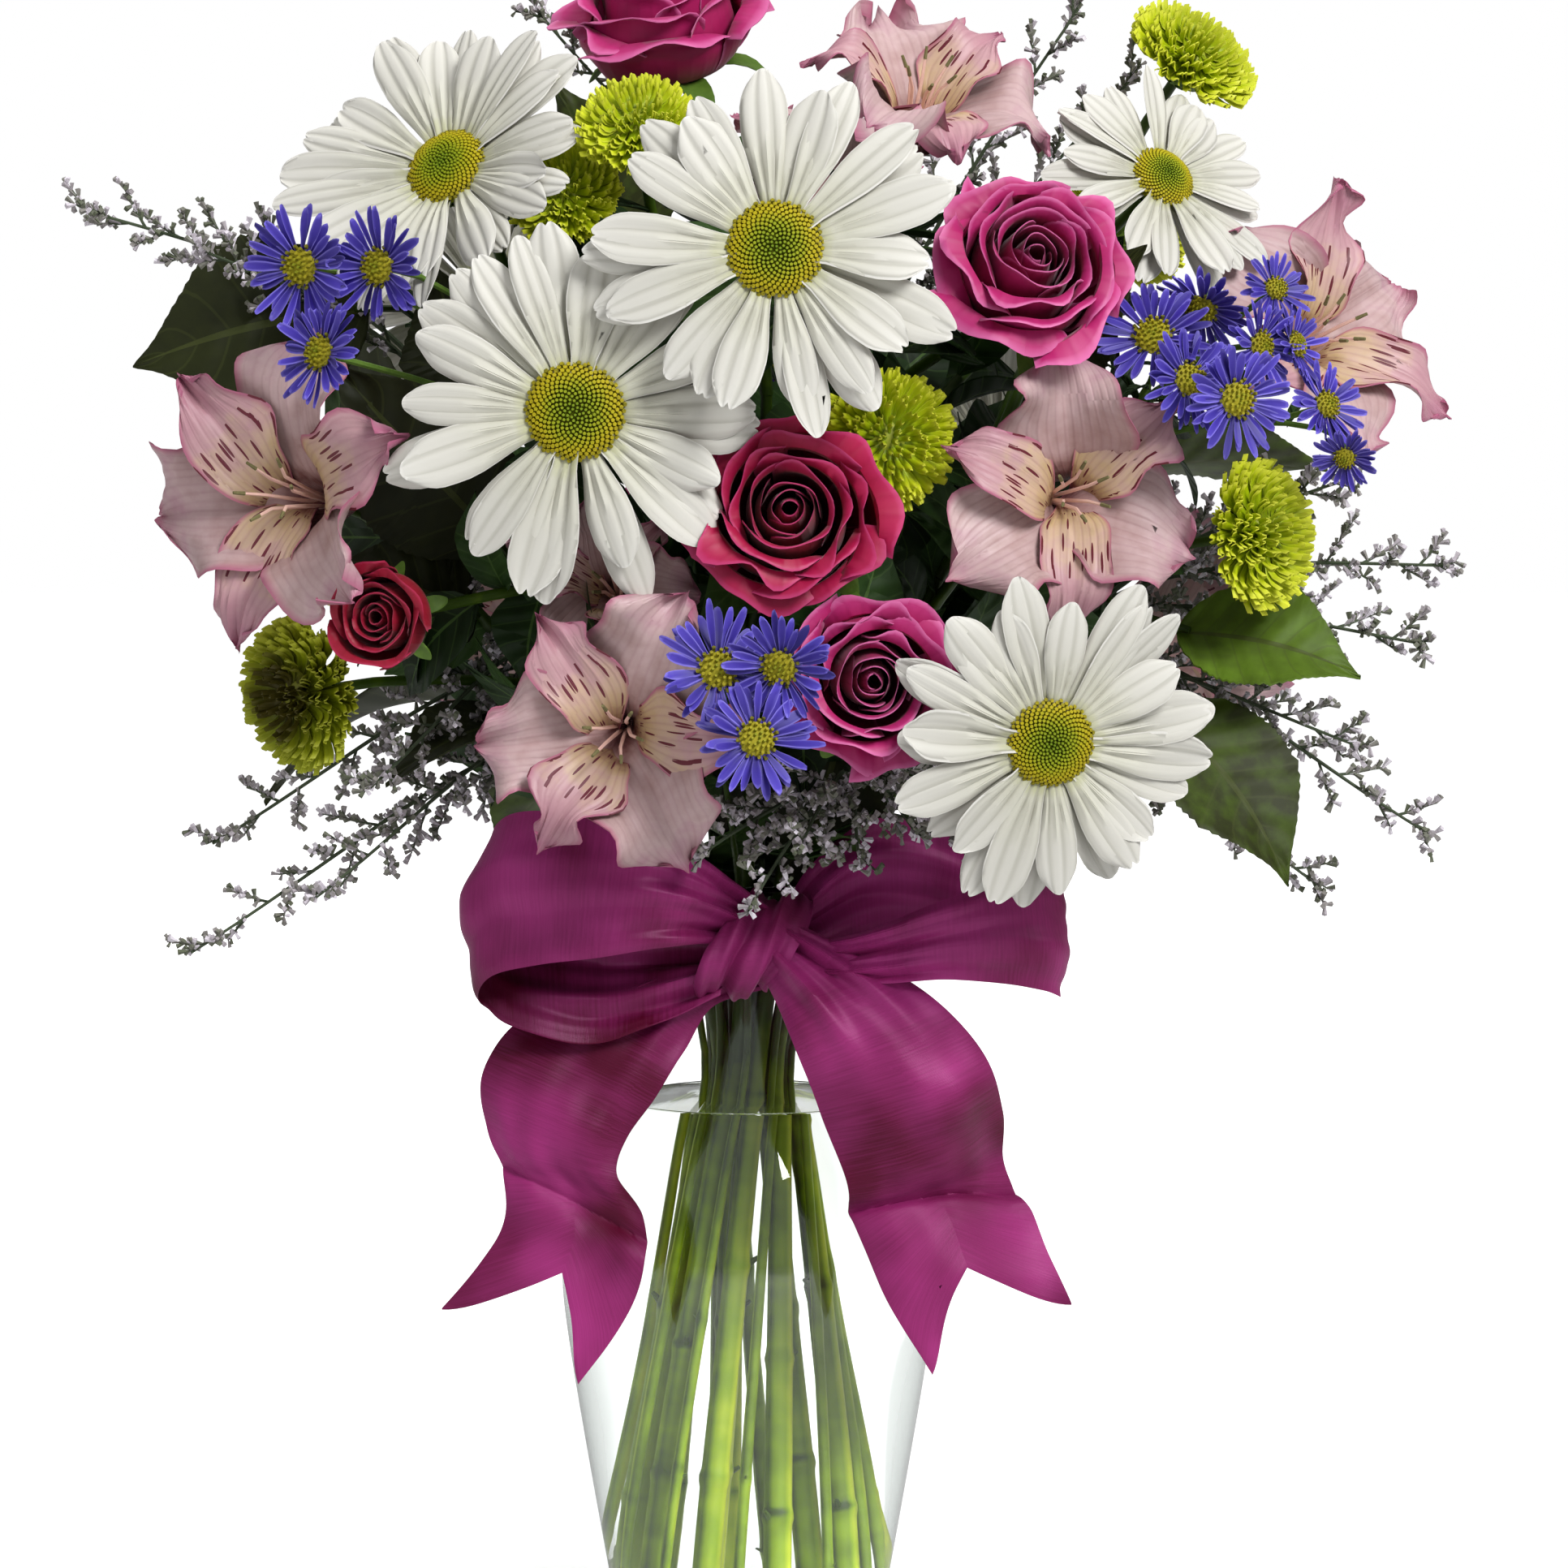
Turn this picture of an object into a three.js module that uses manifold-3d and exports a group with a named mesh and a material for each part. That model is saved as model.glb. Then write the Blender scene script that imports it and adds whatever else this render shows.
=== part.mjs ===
// Mixed flower bouquet in a clear glass vase, tied with one ribbon bow.
// Millimetres, +Z up, front towards -Y. The origin is the centre of the vase's underside.
import * as THREE from "three";
import { mergeVertices } from "three/addons/utils/BufferGeometryUtils.js";
import Module from "manifold-3d";

const wasm = await Module();
wasm.setup();

// ---------------------------------------------------------------- driving dimensions

const GAP = 0.3;                 // clearance between pieces that touch
const ROUND_SIDES = 28;          // sides of the vase, the water and the ribbon's band

const VASE_WALL = 3;
const VASE_FLOOR = 8;
const VASE_TOP = 172;
const FOOT_EDGE = 1.5;           // height of the small bevel round the foot
const VASE_OUTLINE = [           // outer radius at each height, foot to lip
  [29.5, FOOT_EDGE], [33.6, 23], [40.5, 64], [42.3, 84], [39.5, 104],
  [31, 126], [25.6, 145], [25, 154], [26, 162], [29.6, 168], [35, VASE_TOP],
];
const WATER_LEVEL = 121;

const RIBBON_THICKNESS = 1.2;
const BAND_RADIUS = 26.9;        // inside of the ribbon where it goes round the neck
const BAND = { middle: 154.5, height: 14 };
const KNOT = { at: [4, -35, 158], half: [9, 8, 8] };
const LOOP_REACH = { left: 64, right: 62 };

const WAIST_HEIGHT = 126;        // where the stems are bunched tightest
const FOOT_HEIGHT = 9.4;         // centre of each cut stem end, just clear of the vase's floor
const RINGS = {                  // stems in the bunch: distance from its axis at waist and foot
  core: { waist: 2.75, foot: 12, waistRadius: 2.0, footRadius: 2.6 },
  outer: { waist: 7.5, foot: 22, waistRadius: 2.0, footRadius: 2.9 },
  rim: { waist: 10.1, foot: 26, waistRadius: 0.95, footRadius: 1.2 },
  back: { waist: 8.1, foot: 24, waistRadius: 1.0, footRadius: 1.4 },
};
const BRANCH_RADIUS = 1.5;
const TWIG_RADIUS = 0.7;

const COLOURS = {
  glass: 0xe6f0f0, water: 0xdfeeee, ribbon: 0x8a2c5e,
  daisy: 0xeeece8, rose: 0xb8206c, mum: 0x9bb80c, alstroemeria: 0xd9b0b4,
  aster: 0x5a48c8, caspia: 0x8c8c94, leaf: 0x2e3e14, stem: 0x6f8f2c,
};

// Every bloom: where the middle of its face is, which way it faces, and its radius.
const BLOOMS = {
  daisy_top_left: { kind: "daisy", at: [-65, -44, 330], faces: [-4, -7, 5], radius: 36 },
  daisy_top_centre: { kind: "daisy", at: [6, -98, 313], faces: [0, -10, 1.5], radius: 39 },
  daisy_left_centre: { kind: "daisy", at: [-36, -91, 279], faces: [0, -10, 0.3], radius: 40 },
  daisy_top_right: { kind: "daisy", at: [91, -20, 328], faces: [4, -7, 5], radius: 28 },
  daisy_low_right: { kind: "daisy", at: [64, -88, 209], faces: [2, -10, -1.5], radius: 36 },
  daisy_back_left: { kind: "daisy", at: [-62, 72, 300], faces: [-4, 8, 3], radius: 38 },
  daisy_back_right: { kind: "daisy", at: [58, 84, 262], faces: [4, 9, 1], radius: 38 },

  rose_top: { kind: "rose", at: [-18, -21, 362], faces: [-1, -3.5, 9], radius: 21 },
  rose_upper_right: { kind: "rose", at: [60, -66, 309], faces: [2, -9, 4], radius: 19.5 },
  rose_centre: { kind: "rose", at: [9, -81, 257], faces: [0, -10, 2], radius: 19.5 },
  rose_lower: { kind: "rose", at: [26, -82, 222], faces: [1, -10, 0], radius: 18 },
  rose_bud: { kind: "rose", at: [-77, -76, 235], faces: [-4, -9, 0], radius: 10.5 },
  rose_back: { kind: "rose", at: [-10, 92, 248], faces: [-1, 10, 2], radius: 20 },

  mum_top: { kind: "mum", at: [-24, -55, 340], faces: [-1, -7, 7], radius: 13.5 },
  mum_upper_left: { kind: "mum", at: [-40, -49, 325], faces: [-2, -8, 5], radius: 13 },
  mum_centre: { kind: "mum", at: [30, -65, 272], faces: [2, -10, 0], radius: 15.5 },
  mum_top_right: { kind: "mum", at: [100, 11, 356], faces: [5, -4, 7], radius: 16 },
  mum_right: { kind: "mum", at: [112, -47, 251], faces: [8, -6, 1], radius: 17 },
  mum_left: { kind: "mum", at: [-98, -47, 216], faces: [-7, -7, -1], radius: 17 },
  mum_back_left: { kind: "mum", at: [-92, 45, 245], faces: [-8, 6, 1], radius: 16 },
  mum_back_right: { kind: "mum", at: [88, 58, 318], faces: [6, 6, 5], radius: 16 },

  alstroemeria_left: { kind: "alstroemeria", at: [-102, -64, 261], faces: [-5, -8, 1.5], radius: 34 },
  alstroemeria_low_left: { kind: "alstroemeria", at: [-28, -88, 211], faces: [-1, -10, 0], radius: 30 },
  alstroemeria_mid_left: { kind: "alstroemeria", at: [-29, -66, 241], faces: [-1, -8, 3], radius: 19 },
  alstroemeria_right: { kind: "alstroemeria", at: [71, -70, 261], faces: [3, -9, 1], radius: 30 },
  alstroemeria_top: { kind: "alstroemeria", at: [39, -28, 350], faces: [2, -5, 8], radius: 30 },
  alstroemeria_far_right: { kind: "alstroemeria", at: [130, -16, 296], faces: [6, -7, 4], radius: 30 },
  alstroemeria_back_left: { kind: "alstroemeria", at: [-52, 84, 218], faces: [-4, 9, 0], radius: 30 },
  alstroemeria_back_top: { kind: "alstroemeria", at: [12, 62, 330], faces: [0, 7, 7], radius: 32 },
  alstroemeria_back_right: { kind: "alstroemeria", at: [102, 48, 222], faces: [8, 6, 0], radius: 30 },
};

// Every branching flower stem: its ring in the bunch, its angles there, in degrees
// anticlockwise from the right seen from above, the end of its leader, and its blooms,
// each with how far up the leader its branch leaves.
const FLOWER_STEMS = {
  daisy_stem_left: {
    ring: "outer", waist: 172, foot: 137, leader: [-38, -12, 258],
    blooms: { daisy_top_left: 1, daisy_left_centre: 0.95, daisy_back_left: 0.75 },
  },
  alstroemeria_stem_left: {
    ring: "outer", waist: -151, foot: 176, leader: [-44, -26, 214],
    blooms: { alstroemeria_left: 1, alstroemeria_low_left: 0.7, alstroemeria_mid_left: 0.85 },
  },
  rose_stem_front: {
    ring: "outer", waist: -115, foot: -152, leader: [0, -32, 228],
    blooms: { rose_centre: 0.95, rose_lower: 0.8, rose_bud: 1 },
  },
  daisy_stem_right: {
    ring: "outer", waist: -78, foot: -115, leader: [22, -30, 250],
    blooms: { daisy_top_centre: 1, daisy_low_right: 0.7, daisy_top_right: 0.9, daisy_back_right: 0.8 },
  },
  alstroemeria_stem_right: {
    ring: "outer", waist: -42, foot: -75, leader: [42, -20, 240],
    blooms: { alstroemeria_right: 0.8, alstroemeria_far_right: 1 },
  },
  mum_stem_right: {
    ring: "outer", waist: -5, foot: -28, leader: [52, -4, 262],
    blooms: { mum_top_right: 1, mum_right: 0.5, mum_centre: 0.85, mum_back_right: 0.9 },
  },
  rose_stem_top: {
    ring: "core", waist: -80, foot: -130, leader: [4, -8, 280],
    blooms: { rose_top: 1, rose_upper_right: 0.75, rose_back: 0.5 },
  },
  alstroemeria_stem_back: {
    ring: "core", waist: 40, foot: -20, leader: [8, 14, 280],
    blooms: {
      alstroemeria_top: 1, alstroemeria_back_top: 0.9, alstroemeria_back_left: 0.5,
      alstroemeria_back_right: 0.6,
    },
  },
  mum_stem_left: {
    ring: "core", waist: 160, foot: 110, leader: [-14, 6, 270],
    blooms: { mum_top: 1, mum_upper_left: 0.9, mum_left: 0.5, mum_back_left: 0.6 },
  },
};

const ASTER_SPRAYS = {
  aster_spray_left: {
    ring: "rim", waist: -133, foot: -166, leader: [-28, -34, 250],
    blooms: [[-95, -68, 309], [-78, -75, 309], [-90, -82, 291]], faces: [-4, -9, 2], radius: 12.5,
  },
  aster_spray_centre: {
    ring: "rim", waist: -97, foot: -135, leader: [-6, -52, 205],
    blooms: [[-6, -99, 225], [2, -106, 211], [7, -103, 226]], faces: [0, -10, 1], radius: 12.5,
  },
  aster_spray_right: {
    ring: "rim", waist: -24, foot: -50, leader: [74, -30, 262],
    blooms: [[87, -62, 294], [98, -54, 301], [93, -70, 284], [104, -77, 280],
      [118, -47, 303], [127, -47, 281], [128, -54, 268]], faces: [4, -9, 2], radius: 11.5,
  },
  aster_spray_back: {
    ring: "back", waist: 130, foot: 100, leader: [-18, 48, 258],
    blooms: [[-22, 90, 284], [-6, 96, 298], [8, 102, 284]], faces: [0, 10, 2], radius: 12.5,
  },
};

// Caspia: long thin plumes, each from the leader's end to its tip.
const CASPIA_SPRAYS = {
  caspia_spray_left: {
    ring: "rim", waist: -170, foot: 156, leader: [-70, 4, 280],
    plumes: { 1: [-146, -24, 321], 0.55: [-124, -44, 160], 0.6: [-112, -30, 176] },
  },
  caspia_spray_front: {
    ring: "rim", waist: -60, foot: -96, leader: [22, -38, 196],
    plumes: { 0.9: [2, -62, 166], 0.95: [24, -64, 172], 1: [46, -60, 176] },
  },
  caspia_spray_right: {
    ring: "back", waist: 20, foot: -16, leader: [70, -2, 226],
    plumes: { 1: [155, -27, 243], 0.9: [150, -30, 184], 0.8: [128, -8, 170] },
  },
  caspia_spray_back: {
    ring: "back", waist: 58, foot: 25, leader: [20, 34, 262],
    plumes: { 1: [74, 14, 366], 0.95: [-52, 20, 366], 0.6: [40, 96, 200] },
  },
};

// Broad evergreen leaves, each from its base to its tip, with the way its upper side looks.
const LEAF_BRANCHES = {
  leaf_branch_left: {
    ring: "back", waist: 149, foot: 118, leader: [-50, 28, 222],
    leaves: [
      { base: [-84, -18, 300], tip: [-136, -22, 288], looks: [-2, -9, 3], width: 40 },
      { base: [-74, 36, 272], tip: [-126, 42, 294], looks: [-4, 5, 8], width: 34 },
      { base: [-62, 26, 214], tip: [-112, 18, 190], looks: [-4, 1, 9], width: 36 },
      { base: [-42, -14, 210], tip: [-80, -36, 198], looks: [-3, -4, 9], width: 28 },
    ],
  },
  leaf_branch_right: {
    ring: "back", waist: 38, foot: 4, leader: [58, 16, 238],
    leaves: [
      { base: [90, -40, 214], tip: [119, -50, 176], looks: [6, -8, 1], width: 34 },
      { base: [96, -26, 230], tip: [140, -32, 220], looks: [3, -7, 6], width: 28 },
      { base: [84, 44, 262], tip: [134, 56, 262], looks: [4, 5, 8], width: 36 },
      { base: [66, -22, 286], tip: [84, -48, 313], looks: [-2, -9, 3], width: 28 },
    ],
  },
  leaf_branch_back: {
    ring: "back", waist: 111, foot: 82, leader: [34, 40, 226],
    leaves: [
      { base: [6, 56, 206], tip: [10, 106, 186], looks: [0, 4, 9], width: 36 },
      { base: [-30, 52, 196], tip: [-62, 86, 172], looks: [-3, 4, 9], width: 34 },
      { base: [44, 50, 200], tip: [84, 80, 178], looks: [3, 4, 9], width: 34 },
      { base: [-26, 34, 306], tip: [-44, 60, 350], looks: [-2, 6, 7], width: 34 },
    ],
  },
};

// ---------------------------------------------------------------- solids

const vector = (xyz) => new THREE.Vector3(...xyz);
const direction = (xyz) => vector(xyz).normalize();
const radians = THREE.MathUtils.degToRad;
const turnTo = (facing) => new THREE.Quaternion().setFromUnitVectors(new THREE.Vector3(0, 0, 1), facing);

function solid(geometry) {
  const bare = geometry.clone();
  bare.deleteAttribute("normal");
  bare.deleteAttribute("uv");
  const merged = mergeVertices(bare, 1e-4);
  return new wasm.Manifold(new wasm.Mesh({
    numProp: 3,
    vertProperties: new Float32Array(merged.attributes.position.array),
    triVerts: new Uint32Array(merged.index.array),
  }));
}

function geometryOf(body) {
  const mesh = body.getMesh();
  const geometry = new THREE.BufferGeometry();
  geometry.setAttribute("position", new THREE.BufferAttribute(mesh.vertProperties, 3));
  geometry.setIndex(new THREE.BufferAttribute(mesh.triVerts, 1));
  geometry.computeVertexNormals();
  return geometry;
}

const join = (bodies) => bodies.reduce((sum, body) => sum.add(body));

function largest(body) {
  return body.decompose().reduce((best, piece) => (piece.volume() > best.volume() ? piece : best));
}

const bouquet = new THREE.Group();

function place(name, geometry, colour, { roughness = 0.6, opacity = 1 } = {}) {
  const material = new THREE.MeshStandardMaterial({
    color: colour, roughness, metalness: 0, opacity, transparent: opacity < 1,
  });
  const mesh = new THREE.Mesh(geometry, material);
  mesh.name = name;
  bouquet.add(mesh);
  return mesh;
}

// ---------------------------------------------------------------- vase and water

const lathePoints = (pairs) => pairs.map(([radius, height]) => new THREE.Vector2(radius, height));

function lathe(pairs, sides) {
  return new THREE.LatheGeometry(lathePoints(pairs), sides).rotateX(Math.PI / 2);
}

function vaseRadius(height) {
  const above = VASE_OUTLINE.findIndex(([, z]) => z >= height);
  const [r1, z1] = VASE_OUTLINE[Math.max(above, 1)];
  const [r0, z0] = VASE_OUTLINE[Math.max(above, 1) - 1];
  return r0 + ((r1 - r0) * (height - z0)) / (z1 - z0);
}

const BORE = VASE_OUTLINE.filter(([, z]) => z > VASE_FLOOR).map(([r, z]) => [r - VASE_WALL, z]);

function makeVase() {
  const bottom = [[0, 0], [VASE_OUTLINE[0][0] - FOOT_EDGE, 0]];
  const floor = [[vaseRadius(VASE_FLOOR) - VASE_WALL, VASE_FLOOR], [0, VASE_FLOOR]];
  return lathe([...bottom, ...VASE_OUTLINE, ...[...BORE].reverse(), ...floor], ROUND_SIDES);
}

function makeWater() {
  const side = BORE.filter(([, z]) => z < WATER_LEVEL).map(([r, z]) => [r - GAP, z]);
  const bottom = VASE_FLOOR + GAP;
  return solid(lathe([
    [0, bottom], [vaseRadius(bottom) - VASE_WALL - GAP, bottom], ...side,
    [vaseRadius(WATER_LEVEL) - VASE_WALL - GAP, WATER_LEVEL], [0, WATER_LEVEL],
  ], ROUND_SIDES));
}

// ---------------------------------------------------------------- stems

const STEM_SIDES = 6;
const BRANCH_SIDES = 5;
const TWIG_SIDES = 3;

function polar(radius, degrees, height) {
  return new THREE.Vector3(
    radius * Math.cos(radians(degrees)), radius * Math.sin(radians(degrees)), height,
  );
}

function rod(from, to, fromRadius, toRadius, sides) {
  const along = to.clone().sub(from);
  const turn = new THREE.Quaternion()
    .setFromUnitVectors(new THREE.Vector3(0, 1, 0), along.clone().normalize());
  const middle = from.clone().add(to).multiplyScalar(0.5);
  return solid(new THREE.CylinderGeometry(toRadius, fromRadius, along.length(), sides)
    .applyQuaternion(turn).translate(middle.x, middle.y, middle.z));
}

function tube(curve, radius, sides, steps) {
  const corners = Array.from({ length: sides }, (_, i) => {
    const angle = (i / sides) * 2 * Math.PI;
    return new THREE.Vector2(radius * Math.cos(angle), radius * Math.sin(angle));
  });
  return solid(new THREE.ExtrudeGeometry(new THREE.Shape(corners), { steps, extrudePath: curve }));
}

// The straight part that stands in the water, from the cut end to the waist.
function standing(stem, growth = 0, overshoot = 0) {
  const ring = RINGS[stem.ring];
  const foot = polar(ring.foot, stem.foot, stem.footHeight ?? FOOT_HEIGHT);
  const waist = polar(ring.waist, stem.waist, WAIST_HEIGHT);
  const up = waist.clone().sub(foot).normalize();
  foot.addScaledVector(up, -overshoot);
  const body = rod(foot, waist.clone().addScaledVector(up, GAP), ring.footRadius + growth,
    ring.waistRadius + growth, STEM_SIDES);
  return { body, waist, up };
}

const RISE = 22;                 // how far a stem keeps its lean above the waist

function leaderCurve(waist, up, end) {
  const outward = end.clone().sub(new THREE.Vector3(0, 0, WAIST_HEIGHT + 30)).normalize();
  return new THREE.CubicBezierCurve3(
    waist.clone().addScaledVector(up, -GAP),
    waist.clone().addScaledVector(up, RISE),
    end.clone().addScaledVector(outward, -waist.distanceTo(end) * 0.35),
    end,
  );
}

// A branch leaves its stem along the stem and ends square to what it carries.
function branchCurve(leader, part, tip, facing) {
  const start = leader.getPoint(part);
  const reach = start.distanceTo(tip);
  return new THREE.CubicBezierCurve3(
    start, start.clone().addScaledVector(leader.getTangent(part), reach * 0.35),
    tip.clone().addScaledVector(facing, -reach * 0.35), tip,
  );
}

const stemPath = (stem) => {
  const { body, waist, up } = standing(stem);
  const leader = leaderCurve(waist, up, vector(stem.leader));
  const leaderSides = RINGS[stem.ring].waistRadius > 1.5 ? BRANCH_SIDES : TWIG_SIDES;
  const upper = tube(leader, RINGS[stem.ring].waistRadius, leaderSides, 7);
  return { bodies: [body, upper], leader };
};

function makeFlowerStem(stem) {
  const { bodies, leader } = stemPath(stem);
  for (const [name, part] of Object.entries(stem.blooms)) {
    const bloom = BLOOMS[name];
    const facing = direction(bloom.faces);
    const tip = vector(bloom.at).addScaledVector(facing, -HEADS[bloom.kind].depth(bloom.radius) - GAP);
    bodies.push(tube(branchCurve(leader, part, tip, facing), BRANCH_RADIUS, BRANCH_SIDES, 5));
  }
  return join(bodies);
}

// ---------------------------------------------------------------- blooms

// Draws in the rim between petals, so that a turned dish gets a petalled outline.
function petalled(geometry, petals, notch, from, to) {
  const corners = geometry.attributes.position;
  for (let i = 0; i < corners.count; i += 1) {
    const [x, y] = [corners.getX(i), corners.getY(i)];
    const share = THREE.MathUtils.smoothstep(Math.hypot(x, y), from, to);
    const between = 0.5 - 0.5 * Math.cos(petals * Math.atan2(y, x));
    const scale = 1 - notch * share * between;
    corners.setXY(i, x * scale, y * scale);
  }
  return geometry;
}

// A head's own frame has its face at the origin, looking along +Z. depth is how far behind
// that the flat end of its base lies.
const HEADS = {
  daisy: {
    depth: () => 5,
    shape: (radius) => petalled(lathe([
      [0, -5], [4, -5], [radius, 3.4], [radius * 0.24, 1], [0, 3],
    ], 28), 14, 0.16, radius * 0.4, radius),
  },
  rose: {
    depth: (radius) => radius * 0.75,
    shape: (radius) => lathe([
      [0, -0.75], [0.16, -0.75], [0.62, -0.5], [0.92, -0.12], [1, 0.3], [0.72, 0.56], [0, 0.5],
    ].map(([r, z]) => [r * radius, z * radius]), 12),
  },
  mum: {
    depth: (radius) => radius * 0.45,
    shape: (radius) => lathe([
      [0, -0.45], [0.22, -0.45], [0.9, -0.22], [1, 0.08], [0.78, 0.42], [0, 0.5],
    ].map(([r, z]) => [r * radius, z * radius]), 14),
  },
  alstroemeria: {
    depth: (radius) => radius * 0.72,
    shape: (radius) => petalled(lathe([
      [0, -0.72], [0.1, -0.72], [0.3, -0.36], [1, 0.12], [0.26, -0.18], [0, -0.5],
    ].map(([r, z]) => [r * radius, z * radius]), 18), 6, 0.3, radius * 0.3, radius),
  },
};

function makeBlooms() {
  for (const [name, { kind, at, faces, radius }] of Object.entries(BLOOMS)) {
    const head = geometryOf(solid(HEADS[kind].shape(radius)));
    const mesh = place(name, head, COLOURS[kind]);
    mesh.position.set(...at);
    mesh.quaternion.copy(turnTo(direction(faces)));
  }
}

// ---------------------------------------------------------------- asters, caspia, leaves

const ASTER_DEPTH = 3.5;

function asterHead(at, facing, radius) {
  const dish = petalled(lathe([
    [0, -ASTER_DEPTH], [1.8, -ASTER_DEPTH], [radius, 2.2], [0, 1.6],
  ], 16), 8, 0.2, radius * 0.4, radius);
  return solid(dish.applyQuaternion(turnTo(facing)).translate(at.x, at.y, at.z));
}

function makeAsterSpray(stem) {
  const { bodies, leader } = stemPath(stem);
  const facing = direction(stem.faces);
  for (const bloom of stem.blooms) {
    const at = vector(bloom);
    const tip = at.clone().addScaledVector(facing, -1);
    bodies.push(asterHead(at, facing, stem.radius));
    bodies.push(tube(branchCurve(leader, 0.98, tip, facing), TWIG_RADIUS, TWIG_SIDES, 4));
  }
  return join(bodies);
}

const TWIGS_PER_PLUME = 4;
const TWIG_LENGTH = 16;
const FLORETS_RADIUS = 1.6;      // of the florets at a twig's end

// A plume arches out from the leader and carries short twigs on alternate sides.
function plume(leader, part, tip) {
  const start = leader.getPoint(part);
  const reach = start.distanceTo(tip);
  const arch = new THREE.CubicBezierCurve3(
    start, start.clone().addScaledVector(leader.getTangent(part), reach * 0.3),
    tip.clone().lerp(start, 0.4).add(new THREE.Vector3(0, 0, reach * 0.08)), tip,
  );
  const bodies = [tube(arch, TWIG_RADIUS, TWIG_SIDES, 6)];
  for (let i = 0; i < TWIGS_PER_PLUME; i += 1) {
    const part = 0.45 + (0.5 * i) / TWIGS_PER_PLUME;
    const along = arch.getTangent(part);
    const side = new THREE.Vector3(0, 0, 1).cross(along).normalize();
    const across = side.clone().cross(along).multiplyScalar(i % 2 ? 1 : -1);
    const length = TWIG_LENGTH * (1.1 - part);
    const from = arch.getPoint(part);
    const to = from.clone().addScaledVector(across, length * 0.7).addScaledVector(along, length * 0.7)
      .addScaledVector(side, length * (i % 3 - 1) * 0.4);
    bodies.push(rod(from, to, TWIG_RADIUS * 0.6, FLORETS_RADIUS, 3));
  }
  return bodies;
}

function makeCaspiaSpray(stem) {
  const { bodies, leader } = stemPath(stem);
  for (const [part, tip] of Object.entries(stem.plumes)) {
    bodies.push(...plume(leader, Number(part), vector(tip)));
  }
  return join(bodies);
}

const LEAF_THICKNESS = 0.9;

// An egg-shaped blade with a drawn-out tip, from its base at the origin along +Y.
function leafBlade(length, width) {
  const edge = [[0.34, 0.14], [0.5, 0.4], [0.32, 0.74]];
  const outline = [
    [0, 0], ...edge, [0, 1], ...edge.map(([x, y]) => [-x, y]).reverse(),
  ].map(([x, y]) => new THREE.Vector2(x * width, y * length));
  return new THREE.ExtrudeGeometry(new THREE.Shape(outline), {
    depth: LEAF_THICKNESS, bevelEnabled: false,
  }).translate(0, 0, -LEAF_THICKNESS / 2);
}

function leaf({ base, tip, looks, width }) {
  const along = vector(tip).sub(vector(base));
  const length = along.length();
  along.normalize();
  const side = along.clone().cross(direction(looks)).normalize();
  const up = side.clone().cross(along);
  const turn = new THREE.Matrix4().makeBasis(side, along, up).setPosition(vector(base));
  return solid(leafBlade(length, width).applyMatrix4(turn));
}

function makeLeafBranch(stem) {
  const { bodies, leader } = stemPath(stem);
  stem.leaves.forEach((blade, i) => {
    const along = direction(vector(blade.tip).sub(vector(blade.base)).toArray());
    const tip = vector(blade.base).addScaledVector(along, 3);
    bodies.push(leaf(blade));
    bodies.push(tube(branchCurve(leader, 0.98 - 0.08 * i, tip, along), TWIG_RADIUS, TWIG_SIDES, 4));
  });
  return join(bodies);
}

// ---------------------------------------------------------------- ribbon bow

// Front outlines of the bow's parts, as [x, z].
const LEFT_LOOP = [
  [6, 153], [6, 164], [-12, 174], [-35, 180], [-58, 184], [-63, 178], [-57, 168],
  [-57, 150], [-50, 139], [-36, 137], [-18, 146],
];
const RIGHT_LOOP = [
  [2, 152], [20, 154], [34, 156], [48, 154], [64, 149], [69, 160], [69, 170], [62, 176],
  [45, 174], [34, 181], [24, 183], [12, 172], [2, 164],
];
const LEFT_TAIL = [
  [6, 156], [-30, 156], [-50, 143], [-57, 124], [-53, 112], [-54, 93], [-65, 80], [-44, 82],
  [-37, 66], [-28, 79], [-22, 95], [-22, 106], [-27, 120], [-11, 148],
];
const RIGHT_TAIL = [
  [2, 154], [10, 140], [21, 100], [41, 68], [50, 83], [69, 83], [61, 109], [57, 110],
  [56, 122], [50, 138], [37, 150], [22, 157],
];
const BOW_SPAN = 150;            // wider, deeper and taller than any part of the bow
const LOOP_FRONT = -51;          // how far forward a loop's front strip stands
const LOOP_BACK = -38.5;
const TAIL_WAVE = [              // how far forward a hanging tail is at each height
  [-38, 158], [-46, 142], [-43, 124], [-47, 108], [-44.5, 88], [-47.5, 62],
];

const outline = (pairs) => new THREE.Shape(pairs.map(([x, z]) => new THREE.Vector2(x, z)));

// A front outline as a prism that runs through the whole depth of the bow.
function cutter(pairs) {
  return solid(new THREE.ExtrudeGeometry(outline(pairs), { depth: BOW_SPAN, bevelEnabled: false })
    .rotateX(Math.PI / 2));
}

// The outline of a ribbon seen on edge, half its thickness to each side of its centre line.
function ribbonEdge(centre) {
  const shifts = centre.map((point, i) => {
    const before = centre[Math.max(i - 1, 0)];
    const after = centre[Math.min(i + 1, centre.length - 1)];
    const along = after.clone().sub(before).normalize();
    return new THREE.Vector2(-along.y, along.x).multiplyScalar(RIBBON_THICKNESS / 2);
  });
  const left = centre.map((point, i) => point.clone().add(shifts[i]));
  const right = centre.map((point, i) => point.clone().sub(shifts[i]));
  return new THREE.Shape([...left, ...right.reverse()]);
}

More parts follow.
